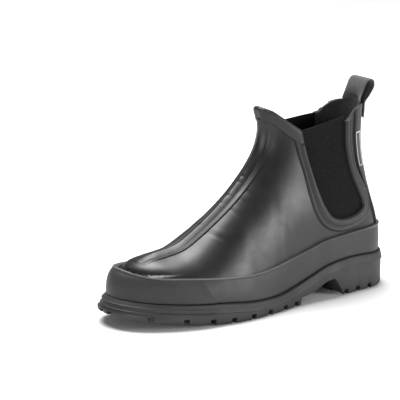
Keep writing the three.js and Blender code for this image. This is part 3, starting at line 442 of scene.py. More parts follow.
gloss_rubber = rubber("gloss_rubber", (0.004, 0.004, 0.0042), (0.009, 0.009, 0.0094), 0.33, 0.46, 0.008, 0.0)
tape_rubber = rubber("tape_rubber", (0.009, 0.009, 0.0095), (0.015, 0.015, 0.0155), 0.42, 0.56, 0.015, 0.0)
band_rubber = rubber("band_rubber", (0.012, 0.012, 0.0125), (0.020, 0.020, 0.0205), 0.42, 0.56, 0.015, 0.0)
sole_rubber = rubber("sole_rubber", (0.018, 0.018, 0.0185), (0.028, 0.028, 0.029), 0.52, 0.68, 0.025, 0.0)

# %% [markdown]
# The toe bumper has a fine diamond knurl pressed into it. It is only a tenth of a millimetre deep,
# so real facets would cost a hundred thousand faces; two crossing waves in the bump do it, laid
# along the band with each point's own distance round the toe.

# %% Knurled bumper finish
def knurled():
    made = rubber("knurled_rubber", (0.012, 0.012, 0.0125), (0.020, 0.020, 0.0205), 0.42, 0.56, 0.012, 0.0)
    tree = made.node_tree
    shader = tree.nodes["Principled BSDF"]
    along, across = lay_parts(tree)
    one = wave(tree, sums(tree, "ADD", along, across), 2.1)
    other = wave(tree, sums(tree, "SUBTRACT", along, across), 2.1)
    diamond = sums(tree, "MULTIPLY", one, other)
    old = shader.inputs["Normal"].links[0].from_socket
    made_bump = node(tree, "Bump", Height=diamond, Distance=0.10 * MM, Strength=1.0, Normal=old)
    tree.links.new(made_bump.outputs["Normal"], shader.inputs["Normal"])
    return made


knurl_rubber = knurled()


def painted_top_highlight(made):
    """A band's top bead is painted lighter as a painted highlight, from its height across the band."""
    tree = made.node_tree
    colour = tree.nodes["Principled BSDF"].inputs["Base Color"]
    top_highlight_share = node(tree, "MapRange", Value=lay_parts(tree)[1], From_Min=22.4 * MM, From_Max=23.2 * MM)
    blend = tree.nodes.new("ShaderNodeMix")
    blend.data_type = "RGBA"
    tree.links.new(top_highlight_share.outputs[0], blend.inputs[0])
    tree.links.new(colour.links[0].from_socket, blend.inputs[6])
    # painted highlight: a lighter grey along the band's top bead
    blend.inputs[7].default_value = (0.10, 0.10, 0.102, 1)
    tree.links.new(blend.outputs[2], colour)


painted_top_highlight(knurl_rubber)
painted_top_highlight(band_rubber)

# %% [markdown]
# Elastic, webbing and lining are cloth: rough, with a soft sheen at grazing angles and a weave
# that shows close up. Ribs of the elastic run up and down, so they are waves of the distance
# across the panel.

# %% Cloth finishes
def elastic_cloth():
    made, tree, shader = material("elastic", (0.006, 0.006, 0.0065), 0.85, 0.0, 0.0, 0.12)
    along, up = lay_parts(tree)
    rib = wave(tree, along, 1.15)
    knit = sums(tree, "MULTIPLY", wave(tree, up, 0.8), 0.35)
    height = sums(tree, "ADD", rib, knit)
    # painted shade: the rib grooves are tinted darker and the crests lighter; the noise adds the knit's own random tone
    tint(tree, shader, sums(tree, "ADD", sums(tree, "MULTIPLY", rib, 0.3), between(tree, noise(tree, 500.0), 0.1, 0.9)),
         (0.004, 0.004, 0.0045), (0.011, 0.011, 0.0115))
    relief(tree, shader, [(height, 0.025), (noise(tree, 3000.0), 0.004)])
    return made


def webbing_cloth():
    made, tree, shader = material("webbing", (0.06, 0.061, 0.062), 0.8, 0.0, 0.25)
    along, up = lay_parts(tree)
    weave = sums(tree, "MULTIPLY", wave(tree, along, 1.5), wave(tree, up, 1.1))
    heather = sums(tree, "ADD", sums(tree, "MULTIPLY", weave, 0.25), between(tree, noise(tree, 900.0), 0.0, 1.0))
    tint(tree, shader, heather, (0.022, 0.0225, 0.023), (0.08, 0.081, 0.083))
    relief(tree, shader, [(weave, 0.06), (noise(tree, 4000.0), 0.012)])
    return made


def lining_cloth():
    made, tree, shader = material("lining", (0.03, 0.03, 0.031), 0.95, 0.0, 0.1, 0.3)
    tint(tree, shader, between(tree, noise(tree, 700.0), 0.0, 1.0), (0.03, 0.03, 0.031), (0.06, 0.06, 0.061))
    relief(tree, shader, [(noise(tree, 1400.0), 0.15)])
    return made


elastic = elastic_cloth()
webbing = webbing_cloth()
lining = lining_cloth()
thread = material("thread", (0.045, 0.045, 0.046), 0.7, 0.0, 0.2)[0]

# %% [markdown]
# ## The shell
# One hollow sheet from sole line to collar. Its rows start as lines from the back edge to the
# front, then fan down to run along the sole edge, so the mesh flows with the foot and has no poles
# on the vamp. A shrink-wrapped box would put its corners just where the light shows them.

# %% Rows of the shell
FAN = [(0, 0), (.50, .19), (1, .38), (1.14, .54), (1.36, .67), (1.66, .79), (2, 1)]
GAP = 0.3


def path_of(points):
    points = np.asarray(points, float)
    reach = np.r_[0, np.cumsum(np.linalg.norm(np.diff(points, axis=0), axis=1))]
    return lambda share: np.array([np.interp(share * reach[-1], reach, c) for c in points.T])


def settled(points):
    """Points of the front profile, drawn back onto the last where the toe is round."""
    middle = np.array([0.90 * SOLE_LENGTH, 0, 0.22 * FRONT_HEIGHT])
    loose = (points[:, 0] > 0.86 * SOLE_LENGTH) & (width_squared(points[:, 0], points[:, 2]) < 0)
    low, high = np.zeros(len(points)), np.where(loose, 0.6, 0)
    for _ in range(24):
        share = (low + high) / 2
        spot = points + (middle - points) * share[:, None]
        outside = width_squared(spot[:, 0], spot[:, 2]) < 0
        low, high = np.where(outside, share, low), np.where(outside, high, share)
    return points + (middle - points) * np.where(loose, high, 0)[:, None]


def shell_edges():
    top = 1.04 * FRONT_HEIGHT
    sole_edge = lambda x: rim_height(x) + GAP
    low = float(sole_edge(0))
    z = np.linspace(top, low, 400)
    back = path_of(np.stack([back_x(z), 0 * z, z], -1))
    x = mix(float(back_x(low)), 0.86 * SOLE_LENGTH, np.linspace(0, 1, 800) ** 2)
    z = sole_edge(x)
    edge = path_of(np.stack([x, np.sqrt(np.maximum(0, width_squared(x, z))), z], -1))
    corner = float(toe_x(0.29 * FRONT_HEIGHT))
    z = np.linspace(top, float(ridge_height(corner)), 800)
    down = np.stack([np.minimum(front_x(z), corner), 0 * z, z], -1)
    z = np.linspace(0.29 * FRONT_HEIGHT, float(sole_edge(toe_x(0.15 * FRONT_HEIGHT))), 200)
    front = path_of(settled(np.concatenate([down, np.stack([toe_x(z), 0 * z, z], -1)])))
    return back, edge, front


def shell_rows(rows, half):
    back, edge, front = shell_edges()
    shares = np.linspace(0, 1, rows + 1)
    spots = np.linspace(0, 1, len(FAN))
    s = np.linspace(0, 1, half + 1)
    both = (1 - np.cos(math.pi * s)) / 2
    xs, zs, opens = [], [], []
    for share in shares:
        place = float(np.interp(share, spots, [a for a, _ in FAN]))
        start = back(place) if place <= 1 else edge(place - 1)
        end = front(float(np.interp(share, spots, [b for _, b in FAN])))
        opens.append(place > 1 + 1e-6)
        t = mix(both, np.sin(math.pi * s / 2), smooth(0.3, 0.6, share)) if opens[-1] else both
        x, z = mix(start[0], end[0], t), mix(start[2], end[2], t)
        fade = max(0, 1 - share / 0.16) ** 2
        line = z
        for _ in range(4 if fade > 0 else 0):
            z = mix(line, collar_height(x) + WALL, fade)
            x = mix(back_x(z), front_x(z), t)
        xs.append(x)
        zs.append(z)
    return np.array(xs), np.array(zs), opens


# %% [markdown]
# Worn rubber is never a perfect surface. A few shallow flex creases cross the instep beside the
# centre strip, and the vamp is a little hollow below the ankle. They are listed one by one, each
# with a place, a length, a width and a depth, because noise alone would put them anywhere.

# %% Creases, listed one by one
CREASES = [  # place along the foot and height, direction in degrees, half length, half width, depth
    (150, 99, 62, 16, 2.4, 0.20),
    (157, 93, 58, 13, 2.0, 0.13),
    (166, 84, 52, 15, 2.6, 0.16),
    (186, 66, 30, 20, 3.2, 0.16),
    (120, 70, 80, 22, 7.0, 0.45),
]


def creased(x, z):
    depth = 0 * x
    for cx, cz, turn, length, width, deep in CREASES:
        a = math.radians(turn)
        along = (x - cx) * math.cos(a) + (z - cz) * math.sin(a)
        across = -(x - cx) * math.sin(a) + (z - cz) * math.cos(a)
        depth = depth - deep * bump(along, 0, length) * (bump(across, 0, width) - 0.45 * bump(across, 1.6 * width, width))
    return depth


# %% Shell with its collar and gusset openings
def above_collar():
    """Everything over the collar edge, as a cutter."""
    ahead = float(front_x(FRONT_HEIGHT)) + 4
    xs = np.linspace(float(back_x(FRONT_HEIGHT)) - 8, ahead, 160)
    return prism([*zip(xs, collar_height(xs)), (ahead, 182), (xs[0], 182)], -45, 45)


def make_shell(rows=240, half=76):
    x, z, opens = shell_rows(rows, half)

    def layer(offset):
        sides = [side_point(x, z, side, offset) for side in (1, -1)]
        ridge = side_point(x[:, -1], z[:, -1], 0, offset if np.ndim(offset) == 0 else offset[:, -1])
        back = side_point(x[:, 0], z[:, 0], 0, offset if np.ndim(offset) == 0 else offset[:, 0])
        for face, side in zip(sides, (1, -1)):
            apart = side * (face[..., 1] - centre(x, z))
            face[..., 1] += side * np.maximum(0, 0.03 - apart)
            face[:, -1] = ridge
            face[:, 0] = np.where(np.array(opens)[:, None], face[:, 0], back)
        return np.concatenate([sides[0], sides[1][:, -2::-1]], 1)

    outer, inner = layer(creased(x, z)), layer(-WALL + 0 * x)
    shell = slab("shell", outer, inner, [gloss_rubber, lining], [not o for o in opens], None, 1)
    outline = spaced(through([(a * SOLE_LENGTH, b * FRONT_HEIGHT) for a, b in GUSSET]), 160)
    first, last = outline[0], outline[-1]
    opening = [(first[0], first[1] + 22), *map(tuple, outline), (last[0], last[1] + 22)]
    carve(shell, [prism(opening, 5, 45), prism(opening, -45, -5), above_collar()])
    soften(shell)
    return shell


shell = make_shell()
finish_piece(shell, "gloss_rubber", "upper")

# %% [markdown]
# ## Tapes, strips and bands
# Everything laid on the shell is a strip with its own cross section: thin at the margins, with a
# bead or a groove. A curve with a bevel profile would twist as it turns round the foot, so each
# section is set out on the last itself, and the sections are joined into a closed tube.

# %% Closed tube from sections
def tube(name, rings, materials, lay=None, degrees=40):
    count, around = rings.shape[:2]
    k, j = np.meshgrid(np.arange(count - 1), np.arange(around), indexing="ij")
    a, b = k * around + j, k * around + (j + 1) % around
    faces = np.stack([a, b, b + around, a + around], -1).reshape(-1, 4).tolist()
    faces += [list(range(around))[::-1], list(range((count - 1) * around, count * around))]
    piece = new_piece(name, rings, faces, materials, None, lay)
    soften(piece, degrees)
    return piece


def lengths_along(rings):
    """Distance of each section from the first, for finishes that follow a strip."""
    step = np.linalg.norm(np.diff(rings.mean(1), axis=0), axis=1)
    return np.r_[0, np.cumsum(step)]


def lay_of(rings, across):
    s = lengths_along(rings)
    flat = np.zeros(rings.shape)
    flat[..., 0] = s[:, None]
    flat[..., 1] = across
    return flat


# %% Centre front strip
STRIP_HALF = 10


def strip_on(line, across, height):
    """A section for each point of a line in the side view, laid across it."""
    way = np.gradient(line, axis=0)
    kernel = np.ones(5) / 5
    way = np.stack([np.convolve(np.pad(c, 2, "edge"), kernel, "valid") for c in way.T], -1)
    way /= np.linalg.norm(way, axis=1, keepdims=True)
    into = np.stack([way[:, 1], 0 * way[:, 0], -way[:, 0]], -1)[:, None, :]
    y = centre(line[:, :1], line[:, 1:]) + across[None, :]
    start = np.stack([line[:, :1] + 0 * y, y, line[:, 1:] + 0 * y], -1) - 2 * into
    top = met_from(start, into, height)
    base = met_from(start, into, 0.03)
    return np.concatenate([top, base[:, ::-1]], 1)


def make_front_strip():
    front = shell_edges()[2]
    spots = np.array([front(s) for s in np.linspace(0, 1, 1500)])
    high = float(collar_height(front_x(FRONT_HEIGHT))) - 8
    line = spots[(spots[:, 2] < high) & (spots[:, 0] < 0.915 * SOLE_LENGTH)][:, [0, 2]]
    line = spaced(line, 170)
    y = np.linspace(-STRIP_HALF, STRIP_HALF, 49)
    a = np.abs(y)
    section = 0.75 + 1.75 * bump(a, 0, 5.6) ** 0.8 - 0.35 * bump(a, 5.7, 1.1) + 0.25 * bump(a, 9.2, 1.2)
    section = section * smooth(STRIP_HALF + 0.4, STRIP_HALF - 0.25, a)
    s = np.linspace(0, 1, len(line))
    ends = smooth(1.0, 0.88, s)
    wrinkle = sum(deep * bump(s, at, wide) for at, wide, deep in
                  [(0.30, 0.012, 0.35), (0.335, 0.010, 0.25), (0.42, 0.014, 0.35), (0.47, 0.010, 0.25), (0.62, 0.012, 0.2)])
    height = section[None, :] * (0.18 + 0.82 * ends[:, None]) - wrinkle[:, None] * bump(y, -0.5, 6)[None, :]
    rings = strip_on(line, y, np.maximum(height, 0.06))
    return tube("front_strip_rubber", rings, [gloss_rubber])


finish_piece(make_front_strip(), "gloss_rubber", "front_strip")

# %% [markdown]
# The collar binding is a soft tape folded over the raw top edge of the front. Where it turns round
# the peak it gathers into small tucks, so its thickness dips there. The tucks are written into the
# section heights rather than simulated: the tape is glued down and has nowhere to move.

# %% Collar binding
BINDING_DEPTH = 10.5


def below_collar(x, down):
    top = collar_height(x)
    share = np.minimum(1, (x - back_x(top)) / (front_x(top) - back_x(top)))
    z = top - down
    return mix(back_x(z), front_x(z), share), z


BINDING_SECTION = [(10.6, 0.05), (10.6, 0.8), (10.2, 1.3), (9.3, 1.55), (7, 1.7), (4, 1.75), (1.6, 1.75), (0.2, 1.55), (-0.8, 1.1),
                   (-1.5, 0.3), (-1.8, -0.7), (-1.7, -1.7), (-1.2, -2.7), (-0.2, -3.3), (1.5, -3.5), (4, -3.5), (7, -3.4),
                   (8, -3.1), (8.1, -2.05), (4, -2.03), (-0.2, -2.0), (-0.3, -1), (-0.2, 0.03), (4, 0.03)]
TUCKS = [(0.0, 2.2, 0.5), (8.5, 2.0, 0.75), (-9.0, 2.2, 0.7), (13.5, 1.6, 0.4), (-14.5, 1.8, 0.35)]


def make_binding():
    corner = GUSSET[0][0] * SOLE_LENGTH + GAP
    count = 120
    k = np.linspace(-1, 1, 2 * count + 1)
    side = -np.sign(k)
    x = mix(corner, float(front_x(FRONT_HEIGHT)), np.sin(math.pi / 2 * (1 - np.abs(k))))
    first = side_point(*below_collar(x, 4.0), side, 0.0)
    s = np.r_[0, np.cumsum(np.linalg.norm(np.diff(first, axis=0), axis=1))]
    s = s - s[count]
    tuck = sum(deep * bump(s, at, wide) for at, wide, deep in TUCKS)
    rings = []
    for down, offset in BINDING_SECTION:
        proud = max(0, offset) - 0.03 if offset > 0.04 else 0
        px, pz = below_collar(x, down + 0.35 * np.sin(s / 5.0) * (down > 9))
        rings.append(side_point(px, pz, side, offset - min(1, max(0, proud)) * tuck))
    rings = np.stack(rings, 1)
    down = np.array([d for d, _ in BINDING_SECTION], float)
    return tube("collar_binding_tape", rings, [tape_rubber], lay_of(rings, down[None, :]))


finish_piece(make_binding(), "gloss_rubber", "collar_binding")

# %% [markdown]
# The gusset frame holds the elastic. Its section, from the elastic outwards: a lip over the cut
# edge, a broad bead, a groove, and a narrow bead at the outer margin. The photo shows each as a
# light and a dark line, so their widths are read from there.

# %% Gusset frames
FRAME_SECTION = [(-0.7, -1.1), (-0.75, 0.4), (-0.5, 1.5), (0.2, 2.3), (1.3, 2.8), (2.6, 2.95), (3.9, 2.7), (5.0, 2.1), (5.8, 1.45),
                 (6.3, 1.25), (6.8, 1.45), (7.5, 1.8), (8.3, 1.95), (9.1, 1.8), (9.9, 1.4), (10.5, 0.8), (10.8, 0.05),
                 (8, 0.03), (4, 0.03), (0.3, 0.03), (0.1, -1.1)]


def gusset_line(count, past=()):
    line = through([(a * SOLE_LENGTH, b * FRONT_HEIGHT) for a, b in GUSSET])
    line = spaced(np.concatenate([line, np.array(past).reshape(-1, 2)]), count)
    way = np.gradient(line, axis=0)
    way /= np.linalg.norm(way, axis=1, keepdims=True)
    return line, np.stack([-way[:, 1], way[:, 0]], -1)


def make_frame(name, side):
    line, out = gusset_line(230, [(GUSSET[-1][0] * SOLE_LENGTH - 1, float(collar_height(back_x(FRONT_HEIGHT))) + 2)])
    narrow = 1 - 0.36 * smooth(0.45 * FRONT_HEIGHT, 0.72 * FRONT_HEIGHT, line[:, 1:])
    low = below_collar(np.linspace(line[0, 0] - 6, float(front_x(FRONT_HEIGHT)), 200), BINDING_DEPTH - 1.5)
    low_x, low_z = low
    rings = []
    for a, h in FRAME_SECTION:
        spot = line + out * (a * narrow if a > 0 else a)
        edge = np.interp(spot[:, 0], low_x, low_z)
        under = smooth(-2.5, 0.0, spot[:, 1] - edge) * (spot[:, 0] > line[0, 0] - 8)
        height = np.where(h > 0.9, mix(h, 0.9, under), h)
        rings.append(side_point(spot[:, 0], spot[:, 1], side, height))
    rings = np.stack(rings, 1)
    across = np.array([a for a, _ in FRAME_SECTION])
    frame_tape = tube(name, rings, [tape_rubber], lay_of(rings, across[None, :]))
    carve(frame_tape, [above_collar()])
    soften(frame_tape)
    return frame_tape


finish_piece(make_frame("gusset_tape_outer", 1), "gloss_rubber", "gusset_frame_outer")
finish_piece(make_frame("gusset_tape_inner", -1), "gloss_rubber", "gusset_frame_inner")

# %% [markdown]
# The elastic is set a little below the tape and has a hem at its top, folded and pressed, which
# shows as a light edge and a dark line under it.

# %% Elastic panels
def make_elastic(name, side, rows=110, columns=70):
    line, out = gusset_line(401)
    rim = line - out * 0.2
    half = 200
    k = half * np.linspace(0, 1, rows + 1) ** 0.9
    front = np.stack([np.interp(k, np.arange(401), c) for c in rim.T], -1)
    back = np.stack([np.interp(400 - k, np.arange(401), c) for c in rim.T], -1)
    t = np.linspace(0, 1, columns + 1)
    spot = front[:, None, :] * (1 - t[None, :, None]) + back[:, None, :] * t[None, :, None]
    down = np.r_[0, np.cumsum(np.linalg.norm(np.diff((front + back) / 2, axis=0), axis=1))]
    hem = 0.35 * smooth(2.7, 2.1, down) - 0.35 * bump(down, 3.1, 0.7)
    edge = np.minimum(t, 1 - t) * np.linalg.norm(front - back, axis=1)[:, None]
    offset = -0.75 + hem[:, None] + 0.25 * smooth(0, 9, edge)
    rise = (4.2 if side > 0 else 0) * t[None, :] * np.clip(1 - down / 7.7, 0, 1)[:, None]
    outer = side_point(spot[..., 0], spot[..., 1] + rise, side, offset)
    inner = side_point(spot[..., 0], spot[..., 1] + rise, side, offset - 1.3)
    lay = np.zeros(outer.shape)
    lay[..., 0] = spot[..., 0]
    lay[..., 1] = down[:, None]
    return slab(name, outer, inner, [elastic], None, lay)


finish_piece(make_elastic("elastic_cloth_outer", 1), "elastic", "elastic_outer")
finish_piece(make_elastic("elastic_cloth_inner", -1), "elastic", "elastic_inner")

# %% [markdown]
# The back strip covers the seam at the heel, with two fine lines pressed along each margin. A
# small blank label is set on its outer side; the real one carries lettering, which is left off.

# %% Back strip and blank label
def wrapped(z, t, height, base):
    """Sections round the back: t runs from one margin of the strip over the back line to the other."""
    z, t = z[:, None], t[None, :]
    reach = mix(9.5, 17, smooth(0.45 * FRONT_HEIGHT, 0.70 * FRONT_HEIGHT, z))
    x = back_x(z) + reach * t ** 2
    top = side_point(x, z + 0 * t, np.sign(t), height)
    under = side_point(x, z + 0 * t, np.sign(t), base + 0 * x)
    return np.concatenate([top, under[:, ::-1]], 1)


def make_back_strip():
    z = np.linspace(float(foxing_top(0)) + 0.2, float(collar_height(back_x(FRONT_HEIGHT))) + 2, 130)
    t = np.linspace(-1, 1, 121)
    a = np.abs(t)
    section = 1.25 + 0.35 * bump(a, 0.905, 0.03) + 0.45 * bump(a, 0.97, 0.03)
    section = np.maximum(section * smooth(1.004, 0.985, a), 0.06)
    strip = tube("back_strip_rubber", wrapped(z, t, section[None, :] + 0 * z[:, None], 0.03), [tape_rubber])
    carve(strip, [above_collar()])
    soften(strip)
    return strip


LABEL = (0.73, 0.97)


def make_label():
    z = np.linspace(104, 133.5, 70)
    t = np.linspace(*LABEL, 33)
    edge = np.minimum(17 * np.minimum(t ** 2 - t[0] ** 2, t[-1] ** 2 - t ** 2)[None, :], np.minimum(z - z[0], z[-1] - z)[:, None])
    rim = 1.45 + 0.4 * smooth(0, 0.25, edge) - 0.25 * smooth(0.6, 1.0, edge)
    rings = wrapped(z, t, rim, 1.0)
    along = 17 * np.r_[t, t[::-1]] ** 2
    return tube("blank_label", rings, [label_rubber], lay_of(rings, along[None, :]))


def label_finish():
    made, tree, shader = material("label_rubber", (0.30, 0.30, 0.30), 0.5)
    along, across = lay_parts(tree)
    low, high = (17 * t ** 2 * MM for t in LABEL)
    edge = sums(tree, "MINIMUM", sums(tree, "SUBTRACT", across, low), sums(tree, "SUBTRACT", high, across))
    ends = sums(tree, "MINIMUM", along, sums(tree, "SUBTRACT", 29.6 * MM, along))
    inside = sums(tree, "GREATER_THAN", sums(tree, "MINIMUM", edge, ends), 0.9 * MM)
    tint(tree, shader, inside, (0.62, 0.62, 0.61), (0.035, 0.035, 0.036))
    relief(tree, shader, [(noise(tree, 1500.0), 0.02)])
    return made


label_rubber = label_finish()
finish_piece(make_back_strip(), "gloss_rubber", "back_strip")
finish_piece(make_label(), "gloss_rubber")

# %% [markdown]
# ## Foxing band and toe bumper
# The band runs round the foot where shell and sole meet, from seam to seam, and the thicker bumper
# covers the toe and laps over its ends. Both are sections set out round the sole line.

# %% Bands round the foot
def seam_x(rise):
    return mix(0.745 * SOLE_LENGTH, 0.785 * SOLE_LENGTH, rise)


def place_at(x, side):
    z = rim_height(x)
    y = centre(x, z) + side * np.sqrt(np.maximum(0, width_squared(x, z)))
    h = 0.2
    plan = lambda a, b: field(np.stack([a, b, rim_height(a)], -1))
    out = np.stack([plan(x + h, y) - plan(x - h, y), plan(x, y + h) - plan(x, y - h)], -1)
    return x, y, out / np.linalg.norm(out, axis=-1, keepdims=True)


def band(name, profile, share, side, start, end, materials):
    rings = []
    for rise, out in profile:
        x = mix(start(rise), end(rise), share)
        px, py, way = place_at(x, side)
        z = mix(rim_height(px) + GAP, foxing_top(px), rise)
        begin = np.stack([px + 2 * way[:, 0], py + 2 * way[:, 1], z], -1)
        inward = np.concatenate([-way, np.zeros((len(px), 1))], 1)
        rings.append(met_from(begin, inward, out))
    rings = np.stack(rings, 1)
    across = np.array([rise for rise, _ in profile]) * FOXING_HEIGHT
    return tube(name, rings, materials, lay_of(rings, across[None, :]))


FOXING_PROFILE = [(0, 0.03), (0, 1.6), (.01, 2.1), (.035, 2.35), (.10, 2.4), (.30, 2.4), (.55, 2.4), (.78, 2.35), (.87, 2.3),
                  (.905, 2.25), (.925, 2.35), (.945, 2.75), (.960, 3.1), (.975, 3.25), (.988, 3.1), (.996, 2.7), (1, 2.0), (1, 0.03),
              (.7, 0.03), (.35, 0.03)]
BUMPER_PROFILE = [(0, 0.03), (0, 2.6), (.02, 3.1), (.06, 3.3), (.15, 3.3), (.30, 3.3), (.45, 3.3), (.60, 3.3), (.72, 3.3), (.82, 3.25),
                  (.885, 3.1), (.915, 3.0), (.935, 3.1), (.955, 3.45), (.975, 3.6), (.988, 3.4), (.996, 2.9), (1, 2.1), (1, 0.03),
                  (.7, 0.03), (.35, 0.03)]


def make_foxing(count=170):
    k = np.r_[np.linspace(1, 0, count + 1), np.linspace(0, 1, count + 1)[1:]]
    side = np.r_[np.ones(count + 1), -np.ones(count)]
    tip = lambda rise: float(back_x(rim_height(0))) + 0.02
    return band("foxing_band", FOXING_PROFILE, k ** 1.6, side, tip, lambda r: seam_x(r) + 1.0, [band_rubber])


def make_bumper(count=100):
    k = np.r_[np.linspace(0, 1, count + 1), np.linspace(1, 0, count + 1)[1:]]
    side = np.r_[np.ones(count + 1), -np.ones(count)]
    tip = lambda rise: float(toe_x(rim_height(SOLE_LENGTH))) - 0.02
    return band("toe_bumper_band", BUMPER_PROFILE, 1 - (1 - k) ** 1.8, side, seam_x, tip, [knurl_rubber])


finish_piece(make_foxing(), "band_rubber", "foxing")
finish_piece(make_bumper(), "band_rubber", "toe_bumper")

# %% [markdown]
# ## Outsole
# The sole is one moulding: a slanted ledge, two ribs round the toe, a block heel and lugs. Rings
# set out round the foot give the sides, then cutters take out the waist and the gaps between the
# lugs, as a mould maker would. A last bevel rounds every edge, since rubber has none that is sharp.

# %% Outsole blank
EDGE = GAP + 1.8 + 3.5
LEDGE, LEDGE_HEIGHT, SIDE_STEP, TOE_BULGE, RIB_PROUD = 3.5, 7.6, 0.8, 5, 0.8


def rim_loop(half):
    low, high = float(back_x(rim_height(0))), float(toe_x(rim_height(SOLE_LENGTH)))
    x = mix(low + 0.02, high - 0.02, (1 - np.cos(math.pi * np.arange(half + 1) / half)) / 2)
    x = np.r_[x, x[1:-1][::-1]]
    side = np.r_[np.ones(half + 1), -np.ones(half - 1)]
    px, py, out = place_at(x, side)
    for tip in (0, half):
        py[tip] = centre(px[tip], rim_height(px[tip]))
        out[tip] = (np.sign(out[tip][0]), 0)
    return px, py, out


def ring(loop, grow, height):
    x, y, out = loop
    far = grow(x)
    px = x + out[:, 0] * far
    return np.stack([px, y + out[:, 1] * far, height(px)], -1)


def bulge(x):
    return TOE_BULGE * smooth(0.80 * SOLE_LENGTH, SOLE_LENGTH, x)


def rib(x):
    return RIB_PROUD * smooth(0.745 * SOLE_LENGTH - 2, 0.745 * SOLE_LENGTH + 2, x)


def ledge_slant(x):
    heel = 1 - smooth(0.30 * SOLE_LENGTH, 0.46 * SOLE_LENGTH, x)
    return np.maximum(heel, smooth(0.86 * SOLE_LENGTH, 0.95 * SOLE_LENGTH, x))


WALL_OUT = EDGE - SIDE_STEP
SOLE_LEVELS = [  # how far in from the edge where it stands and where it slants, toe's bulge, rib, depth below the sole line
    (2.3, 2.3, 0, 0, 0), (1.25, 1.9, .03, 0, .25), (.75, 1.6, .06, 0, .7), (.53, 1.33, .10, 0, 1.2), (.53, .91, .20, 0, 2.6),
    (.53, .86, .23, .1, 2.85), (.53, .79, .25, .8, 3.1), (.53, .74, .26, 1, 3.4), (.53, .69, .27, .8, 3.7), (.53, .62, .29, .1, 3.95),
    (.53, .56, .32, 0, 4.2), (.25, .25, .38, -.4, 5.5), (.08, .08, .43, -.5, 6.3), (0, 0, .45, -.1, 6.8), (.05, .05, .46, .5, 7.05),
    (.35, .35, .48, .95, 7.3), (.8, .8, .50, 1, 7.6), (.8, .8, .56, .9, 7.9), (.8, .8, .64, .4, 8.2), (.8, .8, .80, 0, 8.7),
    (.8, .8, .85, 0, 9.6),
]


def make_outsole_blank(half=170):
    loop = rim_loop(half)
    rings = [ring(loop, lambda x: EDGE - mix(flat, slanted, ledge_slant(x)) + b * bulge(x) + r * rib(x),
                  lambda x: rim_height(x) - down) for flat, slanted, b, r, down in SOLE_LEVELS]
    for o, b, up in ((WALL_OUT - .1, 1.15, 3.5), (WALL_OUT - .4, 1.2, 1.0), (WALL_OUT - .8, 1.15, .3), (WALL_OUT - 1.2, 1.1, 0)):
        rings.append(ring(loop, lambda x, o=o, b=b: o + b * bulge(x), lambda x, up=up: floor_height(x) + up))
    rings = np.array(rings)
    count = rings.shape[1]
    k, j = np.meshgrid(np.arange(len(rings) - 1), np.arange(count), indexing="ij")
    a, b = k * count + j, k * count + (j + 1) % count
    faces = np.stack([a, b, b + count, a + count], -1).reshape(-1, 4).tolist()
    for base in (0, (len(rings) - 1) * count):
        for n in range(1, half):
            faces.append([base + n, base + n + 1, base + (count - n - 1) % count, base + (count - n) % count])
        faces.append([base, base + 1, base + count - 1])
    return new_piece("outsole_moulding", rings, faces, [sole_rubber]), loop


# %% Lugs, waist and heel
FOREFOOT_NOTCHES = [.432, .484, .550, .618, .687, .758, .838, .924]
HEEL_NOTCHES = [.062, .115, .166, .218]
TOE_NOTCH = .981


def block(size, spot, turn):
    w, d, h = (v / 2 for v in size)
    corners = np.array([(x, y, z) for x in (-w, w) for y in (-d, d) for z in (-h, h)])
    c, s = math.cos(turn), math.sin(turn)
    points = corners @ np.array([[c, s, 0], [-s, c, 0], [0, 0, 1]]) + spot
    faces = [[0, 1, 3, 2], [4, 6, 7, 5], [0, 4, 5, 1], [2, 3, 7, 6], [0, 2, 6, 4], [1, 5, 7, 3]]
    return new_piece("cutter", points, faces, [])


def lug_cutters():
    cutters = []
    for share in (*HEEL_NOTCHES, *FOREFOOT_NOTCHES, TOE_NOTCH):
        for side in (1, -1):
            x, y, out = place_at(np.array(share * SOLE_LENGTH), side)
            spot = np.array([x - out[0] * 0.9, y - out[1] * 0.9, floor_height(x) - 0.7], float)
            cutters.append(block((24.2, 5, 10.6), spot, math.atan2(out[1], out[0])))
    return cutters


def tread_cutters(loop):
    """Two long grooves and short cross grooves under the forefoot, and a cross under the heel."""
    px, py, out = loop
    cutters = []
    for side in (1, -1):
        pick = (side * (py - centre(px, 0 * px)) > 0) & (px > 0.43 * SOLE_LENGTH) & (px < 0.90 * SOLE_LENGTH)
        order = np.argsort(px[pick])
        x, y, w = px[pick][order], py[pick][order], out[pick][order]
        loop_line = np.concatenate([np.stack([x - w[:, 0] * far, y - w[:, 1] * far], -1)[::step]
                                    for far, step in ((19, 1), (23.5, -1))])
        base = floor_height(loop_line[:, 0])
        n = len(loop_line)
        points = [(*p, -3) for p in loop_line] + [(*p, b + 4.2) for p, b in zip(loop_line, base)]
        faces = [list(range(n)), list(range(2 * n - 1, n - 1, -1))] + [[k, (k + 1) % n, n + (k + 1) % n, n + k] for k in range(n)]
        cutters.append(new_piece("cutter", points, faces, []))
    for x in np.arange(0.47 * SOLE_LENGTH, 0.86 * SOLE_LENGTH, 13.0):
        cutters.append(block((3.0, 34, 6), (x, float(plan_shift(x)), float(floor_height(x)) - 1), 0.0))
    for x in (0.07, 0.12, 0.17):
        cutters.append(block((3.0, 26, 6), (x * SOLE_LENGTH, 1, -0.5), 0.0))
    return cutters


blank, sole_loop = make_outsole_blank()
shank = through([(a * SOLE_LENGTH, b * SHANK_RISE) for a, b in SHANK], 60).tolist()
shank += [(TREAD_START * SOLE_LENGTH, 0.4 * SHANK_RISE), (TREAD_START * SOLE_LENGTH + 1, shank[0][1])]
carve(blank, [prism(shank, -85, 85), *lug_cutters(), *tread_cutters(sole_loop)])
round_off = blank.modifiers.new("round_off", "BEVEL")
round_off.width, round_off.segments, round_off.limit_method = 0.45 * MM, 2, "ANGLE"
round_off.angle_limit = math.radians(38)
bake(blank)
soften(blank, 50)
finish_piece(blank, "sole_rubber", "outsole")

